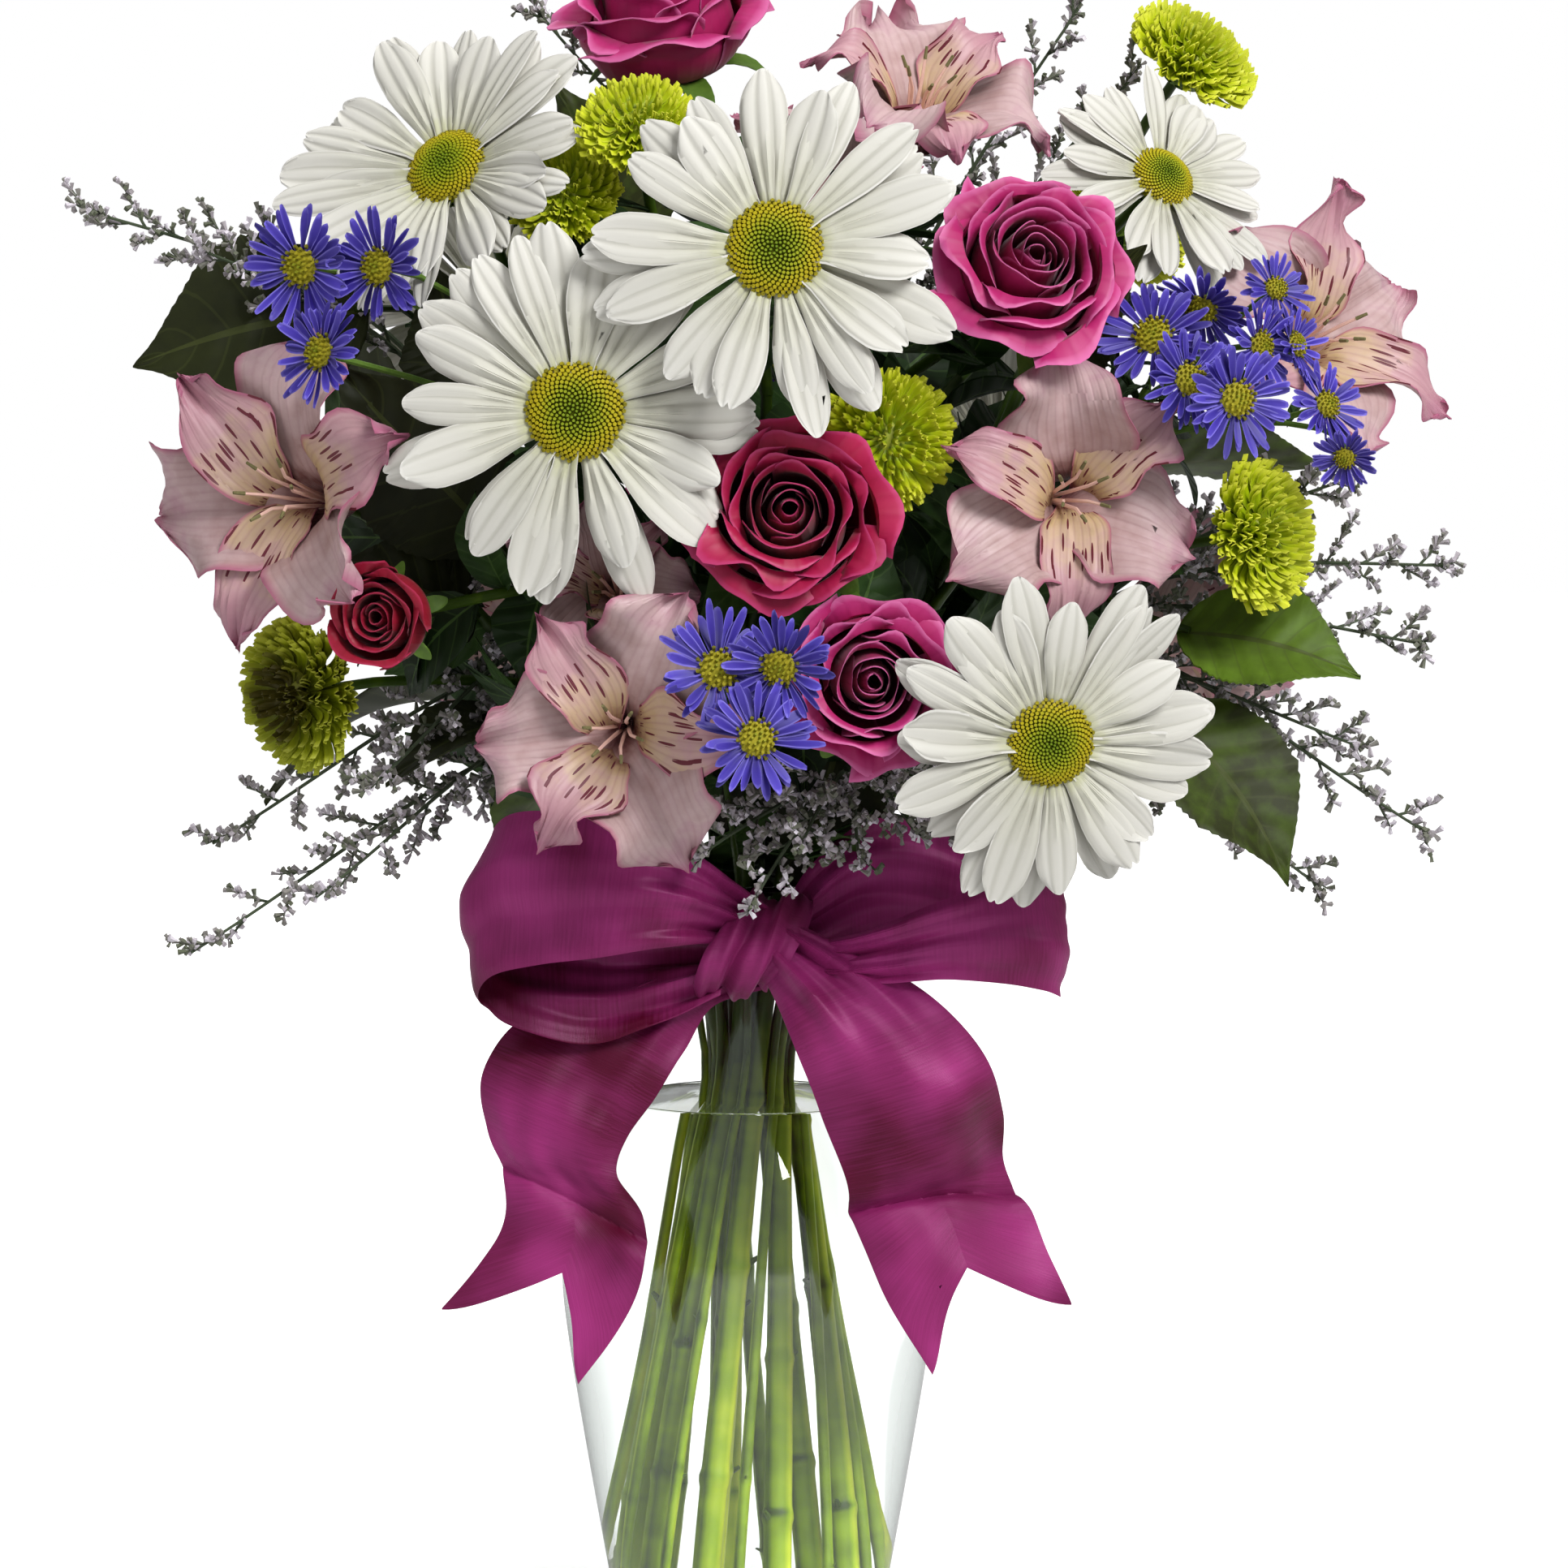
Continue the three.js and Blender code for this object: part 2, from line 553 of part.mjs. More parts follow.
// A loop seen from above runs out to its bend and back; its height is cut to the outline.
function makeLoop(reach, pairs) {
  const [x, y] = KNOT.at;
  const centre = new THREE.SplineCurve([
    [x, y - 2], [x + reach * 0.4, LOOP_FRONT + 2], [x + reach * 0.8, LOOP_FRONT],
    [x + reach, (LOOP_FRONT + LOOP_BACK) / 2], [x + reach * 0.8, LOOP_BACK],
    [x + reach * 0.4, LOOP_BACK + 0.5], [x, y + 2],
  ].map(([px, py]) => new THREE.Vector2(px, py))).getPoints(14);
  const wall = new THREE.ExtrudeGeometry(ribbonEdge(centre), { depth: BOW_SPAN, bevelEnabled: false })
    .translate(0, 0, KNOT.at[2] - BOW_SPAN / 2);
  return solid(wall).intersect(cutter(pairs));
}

function makeTail(pairs) {
  const wave = new THREE.SplineCurve(TAIL_WAVE.map(([y, z]) => new THREE.Vector2(y, z))).getPoints(10);
  const wall = new THREE.ExtrudeGeometry(ribbonEdge(wave), { depth: BOW_SPAN, bevelEnabled: false })
    .applyMatrix4(new THREE.Matrix4().makeBasis(
      new THREE.Vector3(0, 1, 0), new THREE.Vector3(0, 0, 1), new THREE.Vector3(1, 0, 0),
    )).translate(-BOW_SPAN / 2, 0, 0);
  return solid(wall).intersect(cutter(pairs));
}

function makeBow() {
  const [bandLow, bandHigh] = [BAND.middle - BAND.height / 2, BAND.middle + BAND.height / 2];
  const bandOuter = BAND_RADIUS + RIBBON_THICKNESS;
  const band = solid(lathe([
    [BAND_RADIUS, bandLow], [bandOuter, bandLow], [bandOuter, bandHigh], [BAND_RADIUS, bandHigh],
    [BAND_RADIUS, bandLow],
  ], ROUND_SIDES));
  const knot = solid(new THREE.SphereGeometry(1, 10, 6).scale(...KNOT.half).translate(...KNOT.at));
  return join([
    band, knot, makeLoop(-LOOP_REACH.left, LEFT_LOOP), makeLoop(LOOP_REACH.right, RIGHT_LOOP),
    makeTail(LEFT_TAIL), makeTail(RIGHT_TAIL),
  ]);
}

// ---------------------------------------------------------------- the whole bouquet

const allStems = [FLOWER_STEMS, ASTER_SPRAYS, CASPIA_SPRAYS, LEAF_BRANCHES].flatMap(Object.values);
const channels = join(allStems.map((stem) => standing(stem, GAP, VASE_FLOOR).body));

place("vase", geometryOf(solid(makeVase())), COLOURS.glass, { roughness: 0.05, opacity: 0.35 });
place("water", geometryOf(largest(makeWater().subtract(channels))), COLOURS.water,
  { roughness: 0.02, opacity: 0.3 });
place("ribbon_bow", geometryOf(makeBow()), COLOURS.ribbon);
makeBlooms();
for (const [makers, make, colour] of [
  [FLOWER_STEMS, makeFlowerStem, COLOURS.stem], [ASTER_SPRAYS, makeAsterSpray, COLOURS.aster],
  [CASPIA_SPRAYS, makeCaspiaSpray, COLOURS.caspia], [LEAF_BRANCHES, makeLeafBranch, COLOURS.leaf],
]) {
  for (const [name, stem] of Object.entries(makers)) place(name, geometryOf(make(stem)), colour);
}

export default bouquet;
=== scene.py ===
"""Looks of a mixed bouquet that stands in water in a clear glass vase, tied with a plum bow."""

import math
import random

import bmesh
import bpy
import numpy as np
from mathutils import Matrix, Vector, noise
from mathutils.geometry import interpolate_bezier


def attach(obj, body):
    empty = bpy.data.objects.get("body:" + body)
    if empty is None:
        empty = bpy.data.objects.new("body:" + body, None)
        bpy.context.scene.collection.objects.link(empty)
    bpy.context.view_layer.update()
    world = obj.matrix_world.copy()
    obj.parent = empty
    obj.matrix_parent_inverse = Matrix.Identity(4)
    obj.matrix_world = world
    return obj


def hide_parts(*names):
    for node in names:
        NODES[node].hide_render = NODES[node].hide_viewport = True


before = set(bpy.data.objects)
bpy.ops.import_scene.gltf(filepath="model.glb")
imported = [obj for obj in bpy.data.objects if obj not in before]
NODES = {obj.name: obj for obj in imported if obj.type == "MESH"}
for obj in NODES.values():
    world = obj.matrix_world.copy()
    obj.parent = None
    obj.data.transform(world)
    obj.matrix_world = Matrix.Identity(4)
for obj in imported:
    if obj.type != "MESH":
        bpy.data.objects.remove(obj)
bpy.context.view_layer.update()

MM = 0.001  # shapes are worked out in millimetres, and a finished piece is in metres
UP = Vector((0, 0, 1))
GOLDEN_ANGLE = math.pi * (3 - math.sqrt(5))

# ---------------------------------------------------------------- the part's own values, in mm

WAIST_HEIGHT = 126  # where the stems are bunched tightest
RISE = 22  # how far a stem keeps its lean above the waist
VASE_OUTLINE = [  # outer radius at each height, foot to lip
    (29.5, 1.5), (33.6, 23), (40.5, 64), (42.3, 84), (39.5, 104),
    (31, 126), (25.6, 145), (25, 154), (26, 162), (29.6, 168), (35, 172),
]
VASE_WALL = 3
VASE_FLOOR = 8
WATER_LEVEL = 121
RIBBON_WIDTH = 36.5

# Flower stems: the end of each leader, and how far up it the branch to each bloom leaves.
FLOWER_STEMS = {
    "daisy_stem_left": ((-38, -12, 258), {
        "daisy_top_left": 1, "daisy_left_centre": 0.95, "daisy_back_left": 0.75}),
    "alstroemeria_stem_left": ((-44, -26, 214), {
        "alstroemeria_left": 1, "alstroemeria_low_left": 0.7, "alstroemeria_mid_left": 0.85}),
    "rose_stem_front": ((0, -32, 228), {"rose_centre": 0.95, "rose_lower": 0.8, "rose_bud": 1}),
    "daisy_stem_right": ((22, -30, 250), {
        "daisy_top_centre": 1, "daisy_low_right": 0.7, "daisy_top_right": 0.9,
        "daisy_back_right": 0.8}),
    "alstroemeria_stem_right": ((42, -20, 240), {
        "alstroemeria_right": 0.8, "alstroemeria_far_right": 1}),
    "mum_stem_right": ((52, -4, 262), {
        "mum_top_right": 1, "mum_right": 0.5, "mum_centre": 0.85, "mum_back_right": 0.9}),
    "rose_stem_top": ((4, -8, 280), {"rose_top": 1, "rose_upper_right": 0.75, "rose_back": 0.5}),
    "alstroemeria_stem_back": ((8, 14, 280), {
        "alstroemeria_top": 1, "alstroemeria_back_top": 0.9, "alstroemeria_back_left": 0.5,
        "alstroemeria_back_right": 0.6}),
    "mum_stem_left": ((-14, 6, 270), {
        "mum_top": 1, "mum_upper_left": 0.9, "mum_left": 0.5, "mum_back_left": 0.6}),
}

# Aster sprays: the leader's end, the middle of each bloom, the way they face, their radius, and
# how far each bloom turns away from that.
ASTER_SPRAYS = {
    "aster_spray_left": ((-28, -34, 250), [(-95, -68, 309), (-78, -75, 309), (-90, -82, 291)],
                         (-4, -9, 2), 12.5, 0.35),
    "aster_spray_centre": ((-6, -52, 205), [(-6, -99, 225), (2, -106, 211), (7, -103, 226)],
                           (0, -10, 1), 13, 0.4),
    "aster_spray_right": ((74, -30, 262), [
        (87, -62, 294), (104, -74, 281), (94, -70, 285), (98, -54, 300), (110, -58, 292),
        (125, -50, 279), (118, -52, 292), (114, -48, 304), (129, -54, 268)],
                          (4, -9, 2), 12.5, 0.75),
    "aster_spray_back": ((-18, 48, 258), [(-22, 90, 284), (-6, 96, 298), (8, 102, 284)],
                         (0, 10, 2), 12.5, 0.35),
}

# Caspia sprays: the leader's end, and for each plume where it leaves and where its tip is.
CASPIA_SPRAYS = {
    "caspia_spray_left": ((-70, 4, 280), {
        1: (-146, -24, 321), 0.96: (-118, -40, 312), 0.5: (-122, -42, 159), 0.54: (-94, -50, 172),
        0.6: (-118, -32, 182), 0.64: (-82, -50, 196), 0.85: (-70, -40, 232)}),
    "caspia_spray_front": ((22, -38, 200), {
        0.86: (-8, -62, 184), 0.9: (2, -66, 174), 0.93: (12, -68, 186), 0.95: (24, -64, 182),
        0.97: (36, -66, 188), 1: (50, -62, 182)}),
    "caspia_spray_right": ((70, -2, 226), {
        1: (154, -27, 243), 0.95: (148, -30, 226), 0.9: (150, -30, 184), 0.86: (134, -40, 204),
        0.8: (128, -8, 170), 0.98: (130, -36, 262)}),
    "caspia_spray_back": ((20, 34, 262), {
        1: (74, 14, 366), 0.97: (-48, 10, 366), 0.9: (88, 30, 352), 0.6: (40, 96, 200),
        0.7: (-40, 98, 250), 0.8: (60, 80, 310)}),
}

# Evergreen branches: the leader's end, and each leaf's base, tip, facing, width and tone.
# the tones paint light and shade: paler for the leaves on the lit right side, darker on the left and
# deep in the bouquet
LEAF_BRANCHES = {
    "leaf_branch_left": ((-50, 28, 222), [
        ((-84, -18, 300), (-136, -22, 288), (-2, -9, 3), 40, 0.3),
        ((-74, 36, 272), (-126, 42, 294), (-4, 5, 8), 34, 0.4),
        ((-62, 26, 214), (-112, 18, 190), (-4, 1, 9), 36, 0.4),
        ((-42, -14, 210), (-80, -36, 198), (-3, -4, 9), 28, 0.3),
        ((-54, -36, 248), (-90, -44, 288), (-2, -9, 2), 36, 0.15),
        ((-58, -30, 232), (-92, -50, 244), (-2, -8, 4), 26, 0.2),
        ((-18, -19, 222), (-3, -26, 183), (0, -9, 2), 24, 0.15),
        ((-54, -26, 270), (-70, -29, 310), (-1, -9, 1), 30, 0.2)]),
    "leaf_branch_right": ((58, 16, 238), [
        ((90, -40, 214), (119, -50, 176), (6, -8, 1), 34, 0.55),
        ((94, -34, 230), (134, -41, 221), (3, -7, 6), 31, 0.82),
        ((84, 44, 262), (134, 56, 262), (4, 5, 8), 36, 0.6),
        ((66, -22, 286), (84, -48, 313), (-2, -9, 3), 28, 0.35),
        ((24, -15, 218), (10, -20, 166), (0, -9, 2), 30, 0.2)]),
    "leaf_branch_back": ((34, 40, 226), [
        ((0, 60, 214), (16, 98, 180), (1, 8, 5), 28, 0.5),
        ((-30, 52, 196), (-62, 86, 172), (-3, 4, 9), 34, 0.6),
        ((44, 50, 200), (84, 80, 178), (3, 4, 9), 34, 0.4),
        ((-26, 34, 306), (-44, 60, 350), (-2, 6, 7), 34, 0.5)]),
}

# ---------------------------------------------------------------- materials


def linear(hex_colour):
    """An sRGB hex colour as the linear colour that a shader takes."""
    channels = [int(hex_colour[i:i + 2], 16) / 255 for i in (1, 3, 5)]
    return (*(c / 12.92 if c <= 0.04045 else ((c + 0.055) / 1.055) ** 2.4 for c in channels), 1)


FACTOR, COLOUR_A, COLOUR_B = 0, 6, 7  # the sockets of a Mix node that mixes colours

# The real size of each pattern, in mm. One on a UV map is worked out from what the map covers.
PETAL_MOTTLE = 4.55
LEAF_MOTTLE = 6.25
MOULD_WAVE = 33
INNER_TEPAL_SIZE = (17, 36)
DASH_ROOM = (1.55, 8)  # the width and length of the place that each maroon dash has
RIBBON_SHADE_PATCHES = 31.25  # how far apart the broad patches of painted light and shade on the satin lie
RIBBON_STRETCH = 130  # how long the band, a loop or an end is, on average
SLUB_LENGTH = 12.2
SLUBS_APART = 0.5
THREADS_APART = 0.215
WAVE_BANDS = 20 / math.tau  # what a wave texture of scale 1 draws in one unit


def add(material, kind, inputs=None, stops=(), **settings):
    """Adds a node. An input is a number or colour, or the node or output that feeds it."""
    tree = material.node_tree
    made = tree.nodes.new("ShaderNode" + kind)
    for key, value in settings.items():
        setattr(made, key, value)
    for key, value in (inputs or {}).items():
        if isinstance(value, bpy.types.Node):
            value = next(output for output in value.outputs if output.enabled)
        if isinstance(value, bpy.types.NodeSocket):
            tree.links.new(value, made.inputs[key])
        else:
            made.inputs[key].default_value = value
    elements = made.color_ramp.elements if stops else ()
    for _ in range(len(stops) - len(elements)):
        elements.new(1)
    for element, (position, colour) in zip(elements, stops):
        element.position, element.color = position, linear(colour)
    return made


def new_material(name, **shader_inputs):
    """A material whose shader has these settings, named as on the shader with _ for a space."""
    made = bpy.data.materials.new(name)
    made.use_nodes = True
    shader = made.node_tree.nodes["Principled BSDF"]
    for key, value in shader_inputs.items():
        shader.inputs[key.replace("_", " ")].default_value = value
    return made, shader


def feed(material, shader, **sources):
    """Links nodes' outputs to the shader's inputs, named as on the shader with _ for a space."""
    for key, source in sources.items():
        material.node_tree.links.new(source.outputs[0], shader.inputs[key.replace("_", " ")])


def petal_material(name, lengthwise, veins, edge, roughness, sheen=0.0, mottle=0.08, relief=0.1,
                   dark="#000000", flecks=None):
    """Living petal tissue. lengthwise gives colours from the claw to the tip, veins is their
    number across, colour and strength, edge is a colour and its share of the half width."""
    made, shader = new_material(name, Roughness=roughness, IOR=1.4, Sheen_Weight=sheen,
                                Sheen_Roughness=0.4)
    place = add(made, "TexCoord")
    split = add(made, "SeparateXYZ", {0: place.outputs["UV"]})
    across, along = split.outputs[0], split.outputs[1]
    cloud = add(made, "TexNoise", {"Vector": place.outputs["Object"], "Detail": 3,
                                   "Scale": 1 / (PETAL_MOTTLE * MM)})
    wander = add(made, "Math", {0: cloud, 1: mottle * 2, 2: -mottle}, operation="MULTIPLY_ADD")
    shifted = add(made, "Math", {0: along, 1: wander}, operation="ADD")
    body = add(made, "ValToRGB", {0: shifted}, stops=lengthwise)

    # the vein lines follow the grooves; on the white daisy rays their grey is painted shade in the
    # grooves
    count, vein_colour, strength = veins
    phase = add(made, "Math", {0: across, 1: count * math.tau, 2: wander}, operation="MULTIPLY_ADD")
    wave = add(made, "Math", {0: phase}, operation="COSINE")
    ridge = add(made, "Math", {0: wave, 1: 0.5, 2: 0.5}, operation="MULTIPLY_ADD")
    groove = add(made, "Math", {0: ridge, 1: 3.0}, operation="POWER")
    fading = add(made, "Math", {0: along, 1: -strength * 0.6, 2: strength}, operation="MULTIPLY_ADD")
    vein = add(made, "Math", {0: groove, 1: fading}, operation="MULTIPLY")
    body = add(made, "Mix", {FACTOR: vein, COLOUR_A: body, COLOUR_B: linear(vein_colour)},
               data_type="RGBA")

    edge_colour, edge_share = edge
    centred = add(made, "Math", {0: across, 1: 2.0, 2: -1.0}, operation="MULTIPLY_ADD")
    beside = add(made, "Math", {0: centred}, operation="ABSOLUTE")
    outer = add(made, "Math", {0: beside, 1: along}, operation="MAXIMUM")
    rim = add(made, "MapRange", {"Value": outer, "From Min": 1 - edge_share, "To Max": 0.85})
    body = add(made, "Mix", {FACTOR: rim, COLOUR_A: body, COLOUR_B: linear(edge_colour)},
               data_type="RGBA")
    if flecks:
        fleck_colour, near, far = flecks
        cells = add(made, "Mapping", {"Vector": place.outputs["UV"], "Scale": (
            INNER_TEPAL_SIZE[0] / DASH_ROOM[0], INNER_TEPAL_SIZE[1] / DASH_ROOM[1], 1)})
        spots = add(made, "TexVoronoi", {"Vector": cells, "Scale": 1, "Randomness": 1},
                    voronoi_dimensions="2D")
        dash = add(made, "Math", {0: spots, 1: 0.19}, operation="LESS_THAN")
        above = add(made, "Math", {0: along, 1: near}, operation="GREATER_THAN")
        below = add(made, "Math", {0: along, 1: far}, operation="LESS_THAN")
        band = add(made, "Math", {0: above, 1: below}, operation="MULTIPLY")
        fleck = add(made, "Math", {0: dash, 1: band}, operation="MULTIPLY")
        body = add(made, "Mix", {FACTOR: fleck, COLOUR_A: body, COLOUR_B: linear(fleck_colour)},
                   data_type="RGBA")
    # tone darkens the petal towards dark: at random on most petals, and as painted shade in the hearts
    # of roses and button blooms
    tone = add(made, "Attribute", attribute_name="tone")
    body = add(made, "Mix", {FACTOR: tone.outputs["Fac"], COLOUR_A: body, COLOUR_B: linear(dark)},
               data_type="RGBA")
    made.node_tree.links.new(body.outputs[2], shader.inputs["Base Color"])
    bump = add(made, "Bump", {"Height": groove, "Distance": relief * MM, "Strength": 0.6},
               invert=True)
    feed(made, shader, Normal=bump)
    return made


def speckled_material(name, stops, spacing, roughness=0.6, relief=0.15):
    """Matt plant tissue whose colour runs over stops with its tone and a fine mottle of that
    spacing in mm, such as floret tips, stems and dried calyces."""
    made, shader = new_material(name, Roughness=roughness, IOR=1.4)
    place = add(made, "TexCoord")
    cloud = add(made, "TexNoise", {"Vector": place.outputs["Object"], "Detail": 2,
                                   "Scale": 1 / (spacing * MM)})
    tone = add(made, "Attribute", attribute_name="tone")
    mottle = add(made, "Math", {0: cloud, 1: 0.5, 2: -0.25}, operation="MULTIPLY_ADD")
    shade = add(made, "Math", {0: tone.outputs["Fac"], 1: mottle}, operation="ADD")
    body = add(made, "ValToRGB", {0: shade}, stops=stops)
    bump = add(made, "Bump", {"Height": cloud, "Distance": relief * MM})
    feed(made, shader, Base_Color=body, Normal=bump)
    return made


def leaf_material(name, blade, vein, side_veins, roughness):
    """A leaf blade with a pale midrib and arched side veins; tone makes it paler."""
    made, shader = new_material(name, Roughness=roughness, IOR=1.4)
    place = add(made, "TexCoord")
    split = add(made, "SeparateXYZ", {0: place.outputs["UV"]})
    centred = add(made, "Math", {0: split, 1: 2.0, 2: -1.0}, operation="MULTIPLY_ADD")
    beside = add(made, "Math", {0: centred}, operation="ABSOLUTE")
    cloud = add(made, "TexNoise", {"Vector": place.outputs["Object"], "Detail": 4,
                                   "Scale": 1 / (LEAF_MOTTLE * MM)})
    tone = add(made, "Attribute", attribute_name="tone")
    mottle = add(made, "Math", {0: cloud, 1: 0.6, 2: -0.3}, operation="MULTIPLY_ADD")
    shade = add(made, "Math", {0: tone.outputs["Fac"], 1: mottle}, operation="ADD")
    body = add(made, "ValToRGB", {0: shade}, stops=blade)
    midrib = add(made, "Math", {0: beside, 1: 0.045}, operation="LESS_THAN")
    arch = add(made, "Math", {0: beside, 1: -0.16, 2: split.outputs[1]}, operation="MULTIPLY_ADD")
    phase = add(made, "Math", {0: arch, 1: side_veins * math.tau}, operation="MULTIPLY")
    wave = add(made, "Math", {0: phase}, operation="COSINE")
    side = add(made, "Math", {0: wave, 1: 0.965}, operation="GREATER_THAN")
    side = add(made, "Math", {0: side, 1: 0.3}, operation="MULTIPLY")
    middle = add(made, "Math", {0: midrib, 1: 0.75}, operation="MULTIPLY")
    lines = add(made, "Math", {0: middle, 1: side}, operation="MAXIMUM")
    body = add(made, "Mix", {FACTOR: lines, COLOUR_A: body, COLOUR_B: linear(vein)},
               data_type="RGBA")
    made.node_tree.links.new(body.outputs[2], shader.inputs["Base Color"])
    quilt = add(made, "Math", {0: wave, 1: -0.5}, operation="MULTIPLY")
    quilt = add(made, "Math", {0: midrib, 1: -1.0, 2: quilt}, operation="MULTIPLY_ADD")
    bump = add(made, "Bump", {"Height": quilt, "Distance": 0.35 * MM})
    feed(made, shader, Normal=bump)
    return made


def ribbon_material():
    """Plum taffeta: crisp plain weave with crosswise slubs, a soft silky sheen, and broad patches of
    painted light and shade.
    """
    made, shader = new_material("plum_taffeta_ribbon", Roughness=0.42, IOR=1.5, Sheen_Weight=0.22,
                                Sheen_Roughness=0.3, Sheen_Tint=linear("#f080c4"),
                                Specular_Tint=linear("#f4b0dc"), Anisotropic=0.4)
    place = add(made, "TexCoord")
    slubs = add(made, "Mapping", {"Vector": place.outputs["UV"], "Scale": (
        RIBBON_WIDTH / SLUB_LENGTH, RIBBON_STRETCH / SLUBS_APART, 1)})
    streak = add(made, "TexNoise", {"Vector": slubs, "Scale": 1, "Detail": 2})
    # broad cloudy patches of painted light and shade, lighter and darker plum, under the slubs
    cloud = add(made, "TexNoise", {"Vector": place.outputs["Object"], "Detail": 2,
                                   "Scale": 1 / (RIBBON_SHADE_PATCHES * MM)})
    faint = add(made, "Math", {0: streak, 1: 0.15}, operation="MULTIPLY")
    shade = add(made, "Math", {0: cloud, 1: 0.9, 2: faint}, operation="MULTIPLY_ADD")
    body = add(made, "ValToRGB", {0: shade}, stops=[(0.36, "#4e0220"), (0.7, "#a4327a")])
    # the threads are too fine to show one by one, and what does show is the thicker slubs
    threads = add(made, "TexWave", {
        "Vector": place.outputs["UV"], "Scale": RIBBON_STRETCH / THREADS_APART / WAVE_BANDS,
        "Distortion": 1.5, "Detail": 1}, bands_direction="Y")
    weave = add(made, "Math", {0: threads.outputs["Fac"], 1: 0.4}, operation="MULTIPLY")
    height = add(made, "Math", {0: streak, 1: 1.5, 2: weave}, operation="MULTIPLY_ADD")
    bump = add(made, "Bump", {"Height": height, "Distance": 0.06 * MM, "Strength": 0.45})
    feed(made, shader, Base_Color=body, Normal=bump)
    return made


def glass_material():
    """Pressed soda-lime glass, clear, slightly wavy from the mould, and greyer towards its
    edges, where the eye looks through more of it."""
    made, shader = new_material("clear_soda_glass", Roughness=0.0, IOR=1.5,
                                Transmission_Weight=1.0)
    place = add(made, "TexCoord")
    waves = add(made, "TexNoise", {"Vector": place.outputs["Object"], "Detail": 1,
                                   "Scale": 1 / (MOULD_WAVE * MM)})
    bump = add(made, "Bump", {"Height": waves, "Distance": 0.3 * MM, "Strength": 0.3})
    slant = add(made, "LayerWeight", {"Blend": 0.5})
    tint = add(made, "ValToRGB", {0: slant.outputs["Facing"]}, stops=[
        (0.3, "#fdfefe"), (0.6, "#e9eceb"), (0.84, "#bcc1c0"), (1.0, "#747b7a")])
    feed(made, shader, Base_Color=tint, Normal=bump)
    return made


def water_material():
    """Fresh tap water."""
    made, _ = new_material("vase_water", Base_Color=linear("#fbfefb"), Roughness=0.0, IOR=1.333,
                           Transmission_Weight=1.0)
    return made


GLASS = glass_material()
WATER = water_material()
TAFFETA = ribbon_material()

# Each looks as its tissue does: a stop's place runs from the claw (0) to the tip (1) of a petal,
# or with the tone of a stem, leaf or floret.

# Waxy white ray florets: near white, greenish at the claw, with grey lines painted along the grooves as
# shade.
WHITE_RAY = petal_material(
    "white_daisy_ray", [(0.0, "#aeb078"), (0.14, "#c6c5b5"), (0.5, "#cfcdc4"), (1.0, "#d9d7d0")],
    veins=(3, "#a09e92", 0.7), edge=("#e2e0da", 0.06), roughness=0.55, dark="#8c8a7e",
    relief=0.3)
# Velvety magenta petals, darkest at the claw as painted shade in the heart, with paler rolled edges that
# are partly their own colour and partly a painted highlight.
MAGENTA_PETAL = petal_material(
    "magenta_rose_petal", [(0.0, "#6c0422"), (0.5, "#9a0e4c"), (0.82, "#b21c64"), (1.0, "#c0327c")],
    veins=(9, "#901450", 0.2), edge=("#dc70aa", 0.08), roughness=0.5, sheen=0.12, dark="#500418",
    relief=0.08)
# Thick velvet petals, darkest at the claw, so the heart is nearly black with painted shade.
CRIMSON_PETAL = petal_material(
    "crimson_rose_petal", [(0.0, "#4c000a"), (0.5, "#880422"), (0.82, "#a40a3c"), (1.0, "#b61a54")],
    veins=(9, "#700020", 0.2), edge=("#c43c74", 0.06), roughness=0.5, sheen=0.12, dark="#3c0008",
    relief=0.08)
# A tight bud's younger petals, a purer and duller red, darkest at the claw as painted shade inside the
# bud.
RED_PETAL = petal_material(
    "red_rosebud_petal", [(0.0, "#40000a"), (0.5, "#7c0418"), (0.82, "#980a2a"), (1.0, "#a81638")],
    veins=(9, "#600018", 0.2), edge=("#b82850", 0.05), roughness=0.5, sheen=0.12, dark="#300008",
    relief=0.08)
# Quilled lime florets, yellower at the tips and darker at the base, as painted shade down between the
# florets.
LIME_FLORET = petal_material(
    "lime_button_floret", [(0.0, "#728a04"), (0.4, "#b4c80a"), (1.0, "#dae01e")],
    veins=(1, "#9cb60c", 0.3), edge=("#e6ea48", 0.22), roughness=0.5, dark="#4a5a08", relief=0.1)
# The same florets, darker and more olive as painted shade for the bloom on the bouquet's shaded left,
# and browner where the tone is high.
SHADED_LIME_FLORET = petal_material(
    "shaded_button_floret", [(0.0, "#666e04"), (0.4, "#8e9c0a"), (1.0, "#b4bc1c")],
    veins=(1, "#7c8a0c", 0.3), edge=("#c0c63c", 0.2), roughness=0.5, dark="#46400a", relief=0.1)
# Thin dusty pink tepals with a satin face, fine veins and deeper edges, and a brown throat that darkens
# nearly to black at the claw, partly their own colour and partly painted shade deep in the funnel.
OUTER_TEPAL = petal_material(
    "pink_outer_tepal", [(0.0, "#3c1c18"), (0.18, "#7c5450"), (0.38, "#ae8e8a"), (0.7, "#c8acac"),
                         (1.0, "#b88c9a")],
    veins=(15, "#94646e", 0.24), edge=("#b0607e", 0.12), roughness=0.45, dark="#7c5060",
    mottle=0.32, relief=0.12)
# Their inner three have a straw-yellow throat with short maroon dashes, and below it the same near-black
# claw, partly painted shade deep in the funnel.
INNER_TEPAL = petal_material(
    "pink_inner_tepal", [(0.0, "#38100e"), (0.16, "#784236"), (0.32, "#c4aa7e"), (0.46, "#ccb096"),
                         (0.62, "#c49ca0"), (1.0, "#ae7088")],
    veins=(10, "#9c6a74", 0.3), edge=("#ae5c7c", 0.13), roughness=0.45, dark="#7c5060", mottle=0.2,
    relief=0.12, flecks=("#601624", 0.26, 0.62))
